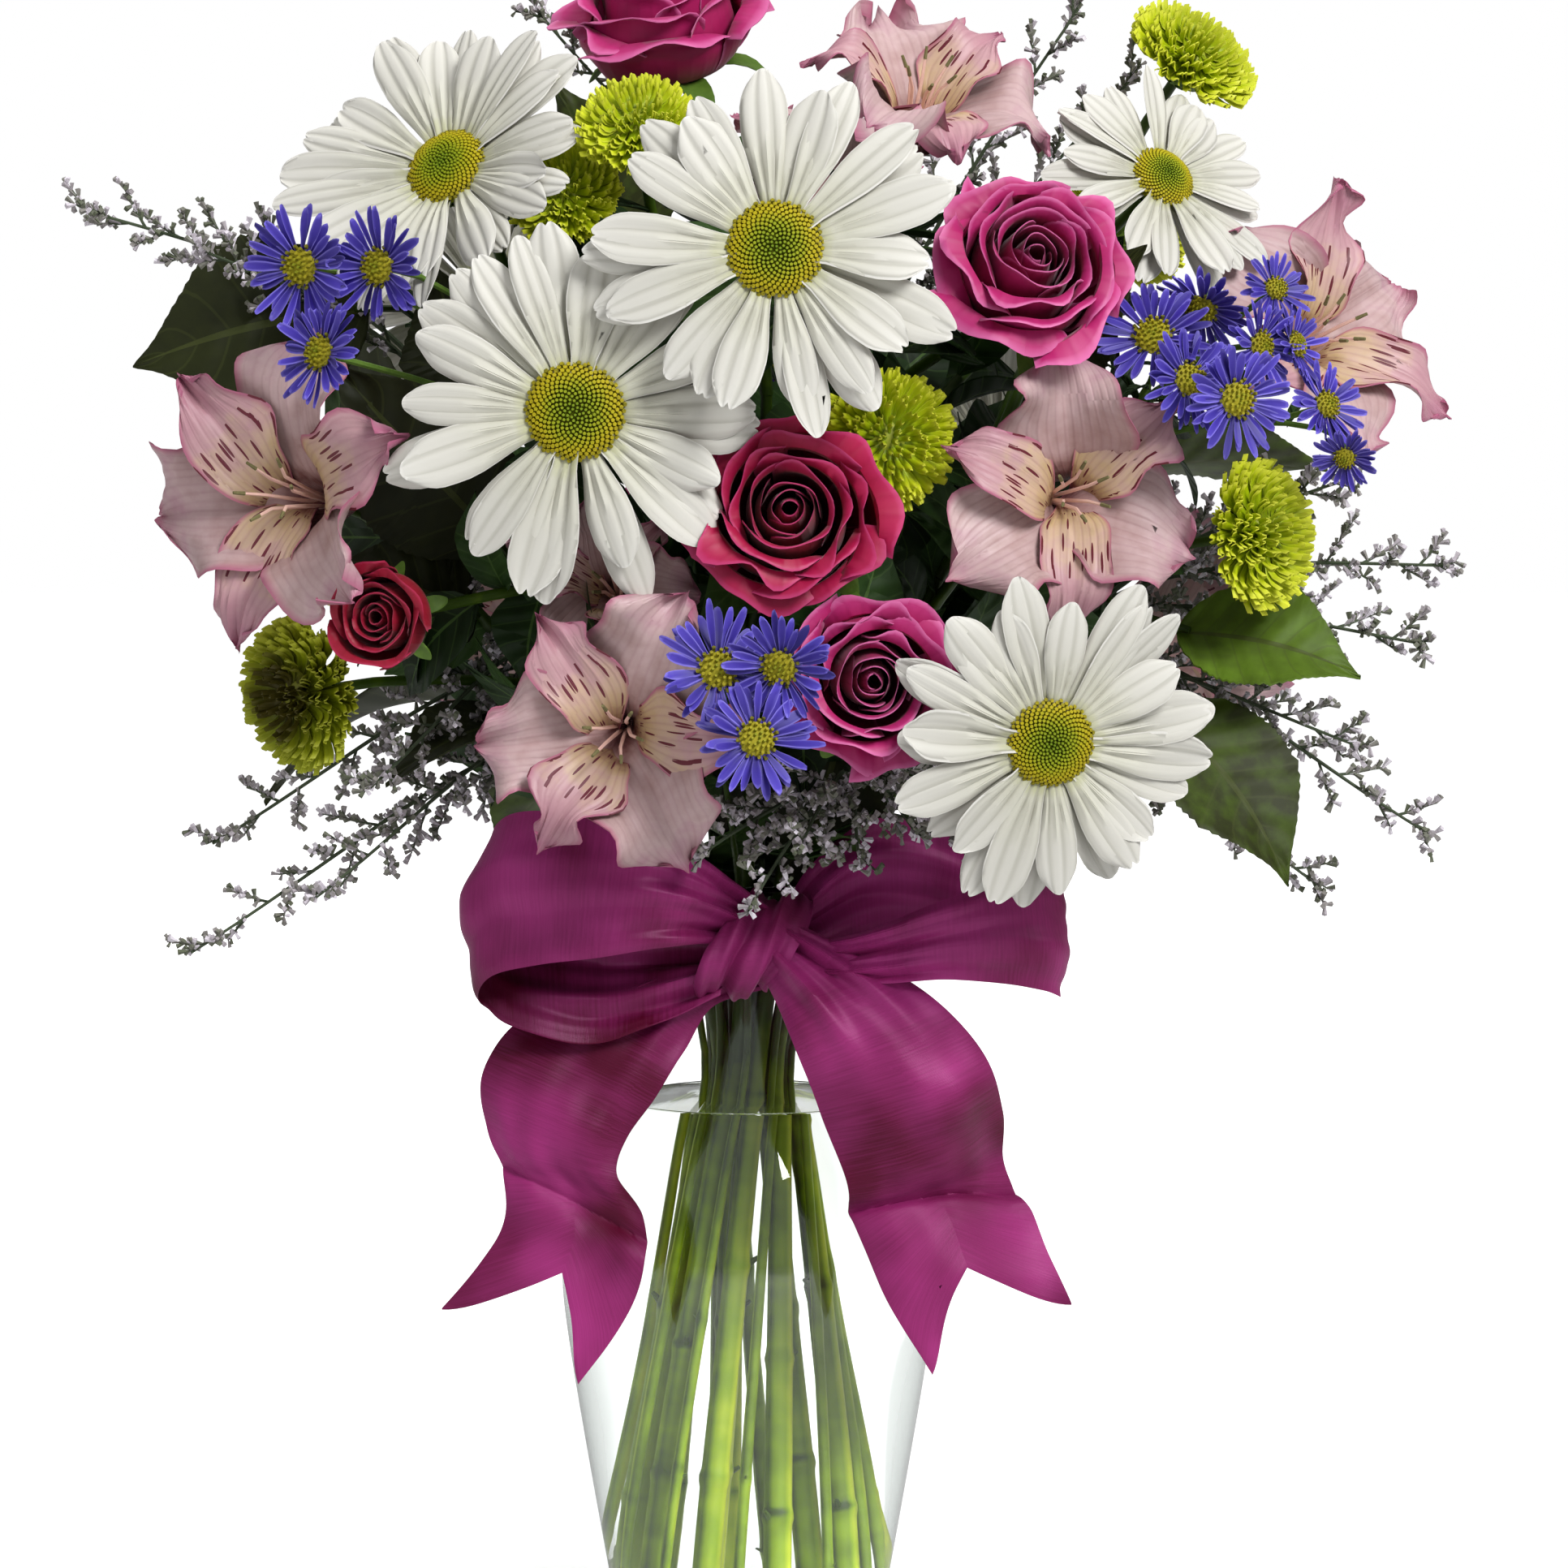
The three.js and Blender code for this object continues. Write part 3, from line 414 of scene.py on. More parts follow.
# Papery violet rays, indigo at the claw and paler along their edges.
VIOLET_RAY = petal_material(
    "violet_aster_ray", [(0.0, "#20146c"), (0.4, "#3c2ca0"), (1.0, "#5c4cc6")],
    veins=(1, "#7064d4", 0.5), edge=("#8478e2", 0.18), roughness=0.5, dark="#180e50",
    relief=0.1)
# Disc florets: green buds in the middle, golden pollen further out, and a darker olive rim, painted
# shade where the rays meet the disc.
DAISY_DISC = speckled_material(
    "daisy_disc_floret", [(0.0, "#66800c"), (0.45, "#8c960a"), (0.8, "#b0a008"), (1.0, "#706a0c")],
    spacing=0.8, roughness=0.75)
# A duller gold, olive-green in the middle and dark olive round the outside.
ASTER_DISC = speckled_material(
    "aster_disc_floret", [(0.0, "#7c8818"), (0.6, "#a4981c"), (1.0, "#525210")], spacing=0.6,
    roughness=0.75)
# Dry papery florets, grey-green at the base and silvery lilac at the mouth.
CASPIA_FLORET = speckled_material(
    "caspia_floret", [(0.0, "#5e6450"), (0.35, "#8c8884"), (0.7, "#b6aeb6"), (1.0, "#eee8f1")],
    spacing=1.2, roughness=0.85)
# Wiry twigs with a dull, slightly rough bark.
CASPIA_TWIG = speckled_material(
    "caspia_twig", [(0.0, "#2f3a28"), (1.0, "#56624a")], spacing=3, roughness=0.75)
# Fresh cut stems: smooth green rind, painted lighter and yellower in the water, where the light falls on
# them, and deep green in the bouquet's shade.
FRESH_STEM = speckled_material(
    "fresh_green_stem", [(0.0, "#1a2a04"), (0.3, "#385208"), (0.62, "#86a40a"), (1.0, "#ccda34")],
    spacing=9, roughness=0.45, relief=0.1)
# Green scales under a bloom, paler at their tips.
CALYX = speckled_material(
    "green_calyx", [(0.0, "#40601a"), (1.0, "#7f9c3c")], spacing=2, roughness=0.55)
# Smooth, nearly clear threads that carry the anthers.
FILAMENT = speckled_material(
    "pink_filament", [(0.0, "#d9a0a4"), (1.0, "#e9cfb4")], spacing=2, roughness=0.5)
# Pollen dust, so quite matt.
ANTHER = speckled_material(
    "ripe_anther", [(0.0, "#4a4a3a"), (1.0, "#8c8450")], spacing=0.5, roughness=0.8)
# Leathery evergreen leaf, dull olive on top.
EVERGREEN = leaf_material(
    "evergreen_leaf", [(0.0, "#161a02"), (0.5, "#282e04"), (1.0, "#5c7a18")], vein="#40481a",
    side_veins=7, roughness=0.62)
# Thin soft leaves of the flower stems, darker and cooler, duller still in the bouquet's shade.
SOFT_LEAF = leaf_material(
    "soft_green_leaf", [(0.0, "#122608"), (0.5, "#223f10"), (1.0, "#446626")], vein="#4c6a30",
    side_veins=6, roughness=0.62)

# ---------------------------------------------------------------- meshes

SCRATCH = bpy.data.meshes.new("scratch")

# How thick each kind of tissue and the ribbon are, in mm, somewhat more than they really are.
RAY_THICKNESS = 0.4
PETAL_THICKNESS = 0.28
BUTTON_THICKNESS = 0.22
ASTER_THICKNESS = 0.25
SCALE_THICKNESS = 0.3
SEPAL_THICKNESS = 0.5
LEAF_THICKNESS = 0.4
RIBBON_THICKNESS = 0.35


def new_mesh():
    bm = bmesh.new()
    bm.loops.layers.uv.new("UVMap")
    bm.verts.layers.float.new("tone")
    return bm


def join(bm, part):
    """Moves a small part into its piece, because operators are quick only on small meshes."""
    part.to_mesh(SCRATCH)
    part.free()
    bm.from_mesh(SCRATCH)


def paint(part, tone, material, verts=None):
    """Gives points their tone, and the faces on them their material."""
    layer = part.verts.layers.float["tone"]
    for vert in verts or part.verts:
        vert[layer] = tone
        for face in vert.link_faces:
            face.material_index = material


def sheet(bm, columns, rows, place, tone=0.0, material=0, thickness=0.0):
    """A grid whose points lie where place(across, along) says: across -1 to 1, along 0 to 1."""
    part = new_mesh()
    bmesh.ops.create_grid(part, x_segments=columns, y_segments=rows, size=1, calc_uvs=True)
    for vert in part.verts:
        vert.co = place(vert.co.x, (vert.co.y + 1) / 2)
    paint(part, tone, material)
    if thickness:
        bmesh.ops.solidify(part, geom=part.faces[:], thickness=thickness)
    join(bm, part)


def rings_around(path):
    """A pair of directions square to the path at each of its points, without twist."""
    pairs, side = [], None
    for i, point in enumerate(path):
        along = (path[min(i + 1, len(path) - 1)] - path[max(i - 1, 0)]).normalized()
        if side is None:
            side = along.orthogonal()
        side = (side - along * side.dot(along)).normalized()
        pairs.append((side, along.cross(side)))
    return pairs


def tube(bm, path, radii, sides, tone=0.0, material=0, ridges=0.0):
    """A closed round rod along the path. tone may be a function of the share of its length and
    of the angle round it."""
    pairs = rings_around(path)
    stations = [(path[0], 0.0, pairs[0]), *zip(path, radii, pairs), (path[-1], 0.0, pairs[-1])]
    rows = len(stations) - 1
    part = new_mesh()
    layer = part.verts.layers.float["tone"]
    bmesh.ops.create_grid(part, x_segments=sides, y_segments=rows, size=1, calc_uvs=True)
    for vert in part.verts:
        across, along = vert.co.x, (vert.co.y + 1) / 2
        middle, radius, (side, other) = stations[round(along * rows)]
        angle = across * math.pi
        radius *= 1 + ridges * math.cos(5 * angle)
        vert.co = middle + side * (radius * math.cos(angle)) + other * (radius * math.sin(angle))
        vert[layer] = tone(along, angle) if callable(tone) else tone
        for face in vert.link_faces:
            face.material_index = material
    bmesh.ops.remove_doubles(part, verts=part.verts, dist=1e-4)
    bmesh.ops.recalc_face_normals(part, faces=part.faces)
    join(bm, part)


def looking(at, facing):
    """A matrix that puts a thing's own +Z along a direction, at a point."""
    return Matrix.Translation(at) @ facing.to_track_quat("Z", "Y").to_matrix().to_4x4()


def cone(part, at, facing, width, tip_width, depth, sides=5, tone=0.0, material=0):
    """A small closed cone from a point, along a direction."""
    middle = looking(at + facing * depth / 2, facing)
    verts = bmesh.ops.create_cone(part, cap_ends=True, segments=sides, radius1=width / 2,
                                  radius2=tip_width / 2, depth=depth, matrix=middle)["verts"]
    paint(part, tone, material, verts)


def placed(name, data):
    """A new object in the scene."""
    made = bpy.data.objects.new(name, data)
    bpy.context.scene.collection.objects.link(made)
    return made


def piece(name, bm, materials, slot, *replaced):
    """Makes the finished object, in metres, riding on the part's one body."""
    bm.transform(Matrix.Scale(MM, 4))
    for face in bm.faces:
        face.smooth = True
    mesh = bpy.data.meshes.new(name)
    bm.to_mesh(mesh)
    bm.free()
    mesh.set_sharp_from_angle(angle=math.radians(55))
    for made in materials:
        mesh.materials.append(made)
    whole = placed(name, mesh)
    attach(whole, "root")
    if replaced:
        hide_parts(*replaced)
    return whole


def smooth_step(low, high, value):
    """0 below low, 1 above high, and an even rise between."""
    share = min(max((value - low) / (high - low), 0.0), 1.0)
    return share * share * (3 - 2 * share)


def through(points, share):
    """A point on the smooth curve through these points, at a share of the way."""
    last = len(points) - 1
    at = min(max(share, 0.0), 1.0) * last
    i = min(int(at), last - 1)
    t = at - i
    before, start = points[max(i - 1, 0)], points[i]
    end, after = points[i + 1], points[min(i + 2, last)]
    return (start * 2 + (end - before) * t + (before * 2 - start * 5 + end * 4 - after) * t * t
            + (start * 3 - before - end * 3 + after) * t ** 3) / 2


# ---------------------------------------------------------------- places read from the frame


def unique_points(node):
    """The corners of a CAD node, in mm."""
    corners = np.array([vert.co for vert in NODES[node].data.vertices]) / MM
    return np.unique(corners.round(3), axis=0)


FACE_DEPTH = {  # how far a head's face lies in front of the flat end of its base
    "daisy": lambda radius: 5, "rose": lambda radius: radius * 0.75,
    "mum": lambda radius: radius * 0.45, "alstroemeria": lambda radius: radius * 0.72,
}


def head_place(node):
    """Where a bloom's face is, which way it looks and its radius, from its turned CAD solid."""
    corners = unique_points(node)
    centre = corners.mean(0)
    spreads, axes = np.linalg.eigh(np.cov((corners - centre).T))
    axis = axes[:, 0] if spreads[2] / spreads[1] < spreads[1] / spreads[0] else axes[:, 2]
    along = (corners - centre) @ axis
    outward = np.linalg.norm(corners - centre - np.outer(along, axis), axis=1)
    rim = along[outward.argmax()]
    base = max(along.min(), along.max(), key=lambda end: abs(end - rim))
    facing = Vector(axis * np.sign(rim - base))
    radius = float(outward.max())
    depth = FACE_DEPTH[node.split("_")[0]](radius)
    return Vector(centre + axis * base) + facing * depth, facing, radius


def head_frame(node, roll=0.0):
    """A matrix from a head's own frame, which looks along +Z with +Y up, and its radius."""
    at, facing, radius = head_place(node)
    return looking(at, facing) @ Matrix.Rotation(math.radians(roll), 4, "Z"), radius


def stem_foot(node):
    """The middle of a stem's cut end and its radius."""
    corners = unique_points(node)
    low = corners[corners[:, 2] < corners[:, 2].min() + 3]
    middle = low.mean(0)
    return Vector(middle), float(np.linalg.norm(low - middle, axis=1).max())


def stem_waist(node):
    """Where a stem passes the waist, from the corners nearest to that height."""
    corners = unique_points(node)
    near = corners[abs(corners[:, 2] - WAIST_HEIGHT) < 3]
    return Vector(near.mean(0))


# ---------------------------------------------------------------- blooms


def polar(radius, angle, height):
    """A point at a radius and angle about the Z axis."""
    return Vector((radius * math.cos(angle), radius * math.sin(angle), height))


def ray_floret(length, width, start, lift, droop, cup, notch=0.0, twist=0.0):
    """A strap-shaped ray along +Y with two lengthwise grooves and a blunt tip."""
    def place(across, along):
        along = 1 - (1 - along) ** 1.35
        narrow = 0.4 + 0.6 * smooth_step(0, 0.6, along)
        tip = math.sqrt(max(0.0, 1 - max(0.0, (along - 0.68) / 0.34) ** 2))
        half = width / 2 * narrow * (0.26 + 0.74 * tip)
        blunt = smooth_step(0.7, 1, along) * width
        reach = start + length * along
        reach -= blunt * (0.2 * across ** 2 + notch * math.exp(-30 * across ** 2))
        ridge = 0.055 * width * math.cos(3 * math.pi * across) * smooth_step(0, 0.3, along)
        turn = twist * along
        x, z = across * half, cup * width * across * across + ridge * (1.25 - along)
        height = lift * along * length - droop * along * along * length
        return Vector((x * math.cos(turn) - z * math.sin(turn), reach,
                       height + x * math.sin(turn) + z * math.cos(turn)))
    return place


def turned(place, matrix):
    """The same sheet's places, moved and turned by a matrix."""
    return lambda across, along: matrix @ place(across, along)


def disc_florets(bm, matrix, radius, height, base, count, floret, material):
    """Packed tubular florets on a dome."""
    part = new_mesh()
    for i in range(count):
        share = math.sqrt((i + 0.5) / count)
        spot = polar(radius * share, i * GOLDEN_ANGLE, base + height * (1 - share ** 2.5))
        lean = polar(0.75 * share ** 3, i * GOLDEN_ANGLE, 1).normalized()
        length = floret * (1.2 + 0.9 * share)
        cone(part, matrix @ (spot - lean * length * 0.5), (matrix.to_3x3() @ lean).normalized(),
             floret * 0.8, floret * (0.55 + 0.5 * share), length, tone=share * 0.95,
             material=material)
    join(bm, part)


def dome(bm, matrix, radius, height, base, tone, material, rings=5, sides=18):
    """A closed round cushion under florets, or a calyx with a negative height."""
    part = new_mesh()
    bmesh.ops.create_uvsphere(part, u_segments=sides, v_segments=rings * 2, radius=1)
    for vert in part.verts:
        x, y, z = vert.co
        reach = abs(height) if z * height > 0 else 0.3 * abs(height)
        vert.co = matrix @ Vector((x * radius, y * radius, base + z * reach))
    paint(part, tone, material)
    join(bm, part)


DAISIES = {  # rays in the front row, how much they lift, and the roll of the head
    "daisy_top_left": (16, 0.36, 8), "daisy_top_centre": (14, 0.1, 20),
    "daisy_left_centre": (14, 0.05, 0), "daisy_top_right": (13, 0.14, 10),
    "daisy_low_right": (15, 0.08, 5), "daisy_back_left": (14, 0.12, 0),
    "daisy_back_right": (14, 0.08, 30),
}


DAISY_DISC_FLORETS = 400
BRACTS_IN_ROW = 9


def bracts(bm, matrix, radius, bottom, material):
    """Two rows of overlapping green scales that cup the back of a head."""
    for row in range(2):
        for i in range(BRACTS_IN_ROW):
            scale = ray_floret(radius * (1 - 0.2 * row), radius * 0.5, 0, 0.05, -0.4, -0.1)
            spin = Matrix.Rotation(math.tau * (i + 0.5 * row) / BRACTS_IN_ROW, 4, "Z")
            low = Matrix.Translation((0, 0, bottom - 0.5 * row))
            sheet(bm, 3, 4, turned(scale, matrix @ low @ spin), tone=0.2 + 0.4 * row,
                  material=material, thickness=SCALE_THICKNESS)


def make_daisy(node, rays, lift, roll):
    """A daisy chrysanthemum: two uneven rows of rays, some of them drooping or turned."""
    matrix, radius = head_frame(node, roll)
    chance = random.Random(node)
    bm = new_mesh()
    disc = radius * 0.25
    for row in range(2):
        count = rays - 3 * (1 - row)
        for i in range(count):
            angle = math.tau * (i + 0.5 * row + chance.uniform(-0.3, 0.3)) / count
            length = radius * chance.uniform(0.86, 1.06) * (1.02 - 0.05 * row) - disc * 0.8
            width = radius * chance.uniform(0.22, 0.3)
            place = ray_floret(
                length, width, disc * 0.8, lift + 0.05 * row + chance.uniform(-0.1, 0.06),
                chance.uniform(0.05, 0.26), chance.uniform(-0.1, 0.14),
                notch=chance.choice((0, 0, 0.1, 0.16)), twist=chance.uniform(-0.35, 0.35))
            spin = Matrix.Rotation(angle, 4, "Z") @ Matrix.Rotation(chance.uniform(-0.2, 0.2), 4, "Y")
            raised = Matrix.Translation((0, 0, -0.9 + 1.3 * row))
            sheet(bm, 10, 11, turned(place, matrix @ raised @ spin), tone=chance.uniform(0, 0.14),
                  thickness=RAY_THICKNESS)
    dome(bm, matrix, disc, 2.6, -0.6, 0.5, 1)
    disc_florets(bm, matrix, disc, 2.8, 0.2, DAISY_DISC_FLORETS, radius * 0.0255, 1)
    dome(bm, matrix @ Matrix.Translation((0, 0, -1.4)), disc * 0.95, -3.4, 0, 0.4, 2)
    bracts(bm, matrix, disc * 1.08, -5.4, 2)
    piece(node + "_bloom", bm, [WHITE_RAY, DAISY_DISC, CALYX], "daisy_petals", node)


# Rose whorls from the heart out: petals, radius and height of the rim as shares of the bloom's
# radius, how far round each petal reaches in degrees, and how far its lip rolls out.
ROSE_WHORLS = [
    (2, 0.09, 0.42, 260, 0.0), (2, 0.17, 0.47, 230, 0.02), (3, 0.27, 0.51, 175, 0.04),
    (3, 0.40, 0.53, 160, 0.08), (4, 0.54, 0.50, 128, 0.14), (5, 0.71, 0.42, 106, 0.2),
    (5, 0.82, 0.24, 100, 0.3),
]
ROSES = {  # whorls kept, material, the roll of the head, and how much the petals frill
    "rose_top": (7, MAGENTA_PETAL, 0, 0.6), "rose_upper_right": (7, MAGENTA_PETAL, 40, 1.0),
    "rose_centre": (7, CRIMSON_PETAL, 80, 0.5), "rose_lower": (7, MAGENTA_PETAL, 10, 0.6),
    "rose_bud": (5, RED_PETAL, 0, 0.9), "rose_back": (7, MAGENTA_PETAL, 60, 0.6),
}


def rose_petal(radius, rim, height, wrap, lip, frill, chance):
    """A cupped petal that stands round the heart, its lip rolled outwards beside its point."""
    half_turn = math.radians(wrap) / 2
    peak = chance.uniform(0.0, 0.06)
    swirl = chance.uniform(0.05, 0.12)
    tilt = chance.uniform(-0.06, 0.06)
    waves = [chance.uniform(-1, 1) for _ in range(3)]
    profile = [Vector((0.1 + 0.1 * rim, -0.62)), Vector((rim * 0.84, -0.42)),
               Vector((rim + 0.09, -0.1)), Vector((rim + 0.04, height - 0.14)),
               Vector((rim, height))]

    def place(across, along):
        up = along * (1 - 0.3 * abs(across) ** 3.5)
        out, level = through(profile, up)
        ripple = sum(w * math.sin((2 * n + 3) * across + n) for n, w in enumerate(waves))
        roll = smooth_step(0.78, 1.0, along) * lip * (0.7 + 0.5 * math.sin(math.pi * across) ** 2)
        out += roll * (1 + 0.25 * ripple)
        level += (peak * (1 - abs(across)) + tilt * across) * smooth_step(0.6, 1, along)
        level -= roll * roll * 1.1
        out += 0.014 * frill * ripple * smooth_step(0.5, 1, along)
        out *= 1 - swirl * across
        return polar(out * radius, across * half_turn, level * radius)
    return place


def make_rose(node, whorls, petal, roll, frill):
    """A spray rose: whorls of cupped petals round a tight heart, over five narrow sepals."""
    matrix, radius = head_frame(node, roll)
    chance = random.Random(node)
    bm = new_mesh()
    kept = ROSE_WHORLS[:whorls]
    spread = 1.02 / (kept[-1][1] + kept[-1][4] * 0.75)
    turn = 0.0
    for petals, rim, height, wrap, lip in kept:
        for i in range(petals):
            turn += math.tau / petals + chance.uniform(-0.25, 0.25)
            grown = rim * spread * (0.93 + 0.12 * i / petals) * chance.uniform(0.97, 1.04)
            place = rose_petal(radius, grown, height + chance.uniform(-0.04, 0.04), wrap,
                               lip * spread * chance.uniform(0.75, 1.15), frill, chance)
            spin = Matrix.Rotation(turn, 4, "Z")
            # inner whorls take more tone and so a darker colour: painted shade in the heart
            sheet(bm, 18, 12, turned(place, matrix @ spin), thickness=PETAL_THICKNESS,
                  tone=chance.uniform(0, 0.15) + 0.3 * (1 - rim) ** 2)
        turn += 0.9
    under = matrix @ Matrix.Translation((0, 0, -radius * 0.56))
    dome(bm, under, radius * 0.3, -radius * 0.19, 0, 0.4, 1)
    for i in range(5):
        sepal = ray_floret(radius * 0.9, radius * 0.3, 0, 0.75, 0.9, 0.2)
        spin = Matrix.Rotation(i * math.tau / 5, 4, "Z") @ Matrix.Translation((0, radius * 0.18, 0))
        low = Matrix.Translation((0, 0, -radius * 0.64))
        sheet(bm, 4, 7, turned(sepal, matrix @ low @ spin), tone=0.2, material=1,
              thickness=SEPAL_THICKNESS)
    piece(node + "_bloom", bm, [petal, CALYX], "rose_petals", node)


MUM_FLORETS = 290
SHADED_MUM = "mum_left"  # on the bouquet's shaded left side, so painted darker


def make_mum(node):
    """A button bloom: hundreds of short strap florets packed into a cushion."""
    matrix, radius = head_frame(node)
    chance = random.Random(node)
    bm = new_mesh()
    heart = radius * 0.36
    for i in range(MUM_FLORETS):
        share = math.sqrt((i + 0.5) / MUM_FLORETS)
        angle = i * GOLDEN_ANGLE + chance.uniform(-0.2, 0.2)
        lean = share * 1.8 + chance.uniform(-0.1, 0.1)
        reach = heart + (radius - heart) * (0.42 + 0.62 * share ** 0.7) * chance.uniform(0.88, 1.06)
        out = math.sin(lean)
        start = polar(heart * out, angle, heart * 0.7 * math.cos(lean) - radius * 0.06)
        end = polar(reach * out, angle + chance.uniform(-0.06, 0.06),
                    reach * 0.6 * math.cos(lean) + radius * 0.05 * share)
        bend = polar(radius * 0.07 * out, angle, -radius * 0.07)
        side = polar(1, angle + math.pi / 2, 0)
        half_width = radius * (0.04 + 0.028 * share) * chance.uniform(0.8, 1.2)

        def place(across, along):
            middle = start.lerp(end, along) + bend * math.sin(math.pi * along)
            half = half_width * (0.55 + 0.45 * smooth_step(0, 0.7, along))
            half *= 1 - 0.5 * max(0.0, (along - 0.7) / 0.3) ** 2
            cupped = (end - start).normalized().cross(side) * (half_width * across * across)
            return matrix @ (middle + side * across * half - cupped * (0.3 + 0.7 * along))
        # the middle florets take more tone and so a darker colour: painted shade in the heart of the
        # cushion
        tone = max(0.0, 0.38 - share * 0.5) + chance.uniform(0, 0.16)
        if node == SHADED_MUM:  # its heart is darker and browner still
            tone += 0.8 * (1 - smooth_step(0.25, 0.6, share))
        sheet(bm, 3, 4, place, tone=min(tone, 1), thickness=BUTTON_THICKNESS)
    dome(bm, matrix, heart * 1.1, heart * 0.8, -radius * 0.1, 0.6, 0)
    under = matrix @ Matrix.Translation((0, 0, -radius * 0.2))
    dome(bm, under, radius * 0.42, -radius * 0.2, 0, 0.3, 1)
    bracts(bm, matrix, radius * 0.5, -radius * 0.46, 1)
    floret = SHADED_LIME_FLORET if node == SHADED_MUM else LIME_FLORET
    piece(node + "_bloom", bm, [floret, CALYX], "mum_petals", node)


ALSTROEMERIAS = {  # the roll of each head in degrees, how far it is open, and how wide it spreads
    "alstroemeria_left": (110, 1.0, 1.26), "alstroemeria_low_left": (-30, 1.0, 1.2),
    "alstroemeria_mid_left": (15, 0.8, 1.25), "alstroemeria_right": (10, 0.95, 1.22),
    "alstroemeria_top": (0, 0.85, 1.16), "alstroemeria_far_right": (48, 0.95, 1.32),
    "alstroemeria_back_left": (0, 1.0, 1.1), "alstroemeria_back_top": (30, 1.0, 1.0),
    "alstroemeria_back_right": (-10, 1.0, 1.1),
}


def tepal(radius, width, reach, openness, chance, pointed):
    """A tepal of the funnel along +Y: a narrow claw, then a broad ruffled blade."""
    waves = [(chance.uniform(8, 18), chance.uniform(0, math.tau), side)
             for side in (-1, 1, -1, 1, -1, 1)]
    curl = chance.uniform(-0.12, 0.12)
    backward = chance.uniform(0.0, 0.2)
    lean = chance.uniform(-0.12, 0.12)
    ruffle = 0.05 if pointed else 0.11
    line = [Vector((0.05, -0.72)), Vector((0.12, -0.44)), Vector((0.3, -0.2)),
            Vector((0.66 * reach, 0.0)), Vector((reach, 0.04 + curl))]

    def place(across, along):
        along = 1 - (1 - along) ** 1.25
        out, level = through(line, along)
        out *= 0.72 + 0.28 * openness
        level += (1 - openness) * 0.6 * smooth_step(0.3, 1, along)
        blade = smooth_step(0.25, 0.8, along)
        rounding = 0.66 if pointed else 0.54
        tip = math.sqrt(max(0.06, 1 - max(0.0, (along - rounding) / (1.01 - rounding)) ** 2))
        half = width / 2 * (0.24 + 0.76 * smooth_step(0.08, 0.6, along)) * tip
        if pointed:
            half *= 1 - 0.3 * smooth_step(0.6, 1, along)
        level += 0.35 * (1 - 0.6 * blade) * half * across * across
        level += 0.008 * blade * math.cos(7 * math.pi * across + 6 * along)
        level -= 0.05 * blade * math.exp(-(across / 0.22) ** 2)
        level -= backward * smooth_step(0.6, 1, along) ** 2
        for pitch, phase, side in waves:
            beside = max(0.0, across * side)
            level += ruffle * blade * math.sin(pitch * along + phase) * beside ** 1.6
            half += 0.045 * blade * math.sin(pitch * 1.4 * along + phase) * beside * tip
            level += 0.3 * ruffle * smooth_step(0.7, 1, along) * math.sin(8 * across + phase)
        end = smooth_step(0.75, 1, along)
        out += end * (0.04 * math.exp(-60 * across ** 2) - 0.12 * across ** 2)
        return Vector(((across * half + lean * out * blade) * radius, out * radius, level * radius))
    return place


def make_alstroemeria(node, roll, openness, spread):
    """A funnel of three broad outer and three pointed inner tepals, with six long stamens."""
    matrix, radius = head_frame(node, roll)
    chance = random.Random(node)
    bm = new_mesh()
    for i in range(6):
        inner = i % 2
        spin = Matrix.Rotation(math.tau * i / 6 + chance.uniform(-0.18, 0.18), 4, "Z")
        spin = spin @ Matrix.Rotation(chance.uniform(-0.16, 0.2), 4, "X")
        spin = spin @ Matrix.Rotation(chance.uniform(-0.35, 0.35), 4, "Y")
        width = chance.uniform(0.56, 0.66) if inner else chance.uniform(1.0, 1.16)
        reach = spread * chance.uniform(0.88, 1.0) * (1 - 0.04 * inner)
        place = tepal(radius, width, reach, openness, chance, pointed=inner)
        above = Matrix.Translation((0, 0, radius * 0.05 * inner))
        sheet(bm, 22, 26, turned(place, matrix @ above @ spin), tone=chance.uniform(0, 0.2),
              material=inner, thickness=PETAL_THICKNESS)
    for i in range(6):
        angle = math.tau * (i + 0.3) / 6
        path = [matrix @ polar(radius * out, angle, radius * level) for out, level in (
            (0.03, -0.6), (0.07, -0.3), (0.12, -0.02), (0.2, chance.uniform(0.08, 0.16)))]
        tube(bm, path, [0.5, 0.45, 0.4, 0.3], 5, tone=0.5, material=2)
        along = (path[-1] - path[-2]).normalized()
        part = new_mesh()
        cone(part, path[-1] - along, along, 0.9, 0.7, 2.8, sides=6, tone=0.5, material=3)
        join(bm, part)
    piece(node + "_bloom", bm, [OUTER_TEPAL, INNER_TEPAL, FILAMENT, ANTHER],
          "alstroemeria_petals", node)


# ---------------------------------------------------------------- stems


def curve(start, handle_a, handle_b, end, steps):
    """Points along a smooth bend whose handles set how it leaves and arrives."""
    return interpolate_bezier(start, handle_a, handle_b, end, steps)


LEADER_STEPS = 14
BRANCH_STEPS = 9


def leader_of(node, end):
    """A stem's leader, from its waist to its end, the way it leaves its straight lower part."""
    foot, foot_radius = stem_foot(node)
    waist = stem_waist(node)
    up = (waist - foot).normalized()
    end = Vector(end)
    outward = (end - Vector((0, 0, WAIST_HEIGHT + 30))).normalized()
    handle = end - outward * (waist - end).length * 0.35
    return foot, foot_radius, curve(waist, waist + up * RISE, handle, end, LEADER_STEPS)


def branch(leader, share, tip, facing):
    """A branch that leaves its leader along it and ends square to what it carries."""
    at = round(share * (len(leader) - 1))
    start = leader[at]
    along = (leader[min(at + 1, len(leader) - 1)] - leader[max(at - 1, 0)]).normalized()
    reach = (tip - start).length
    bend = reach * 0.35
    return curve(start, start + along * bend, tip - facing * bend, tip, BRANCH_STEPS)


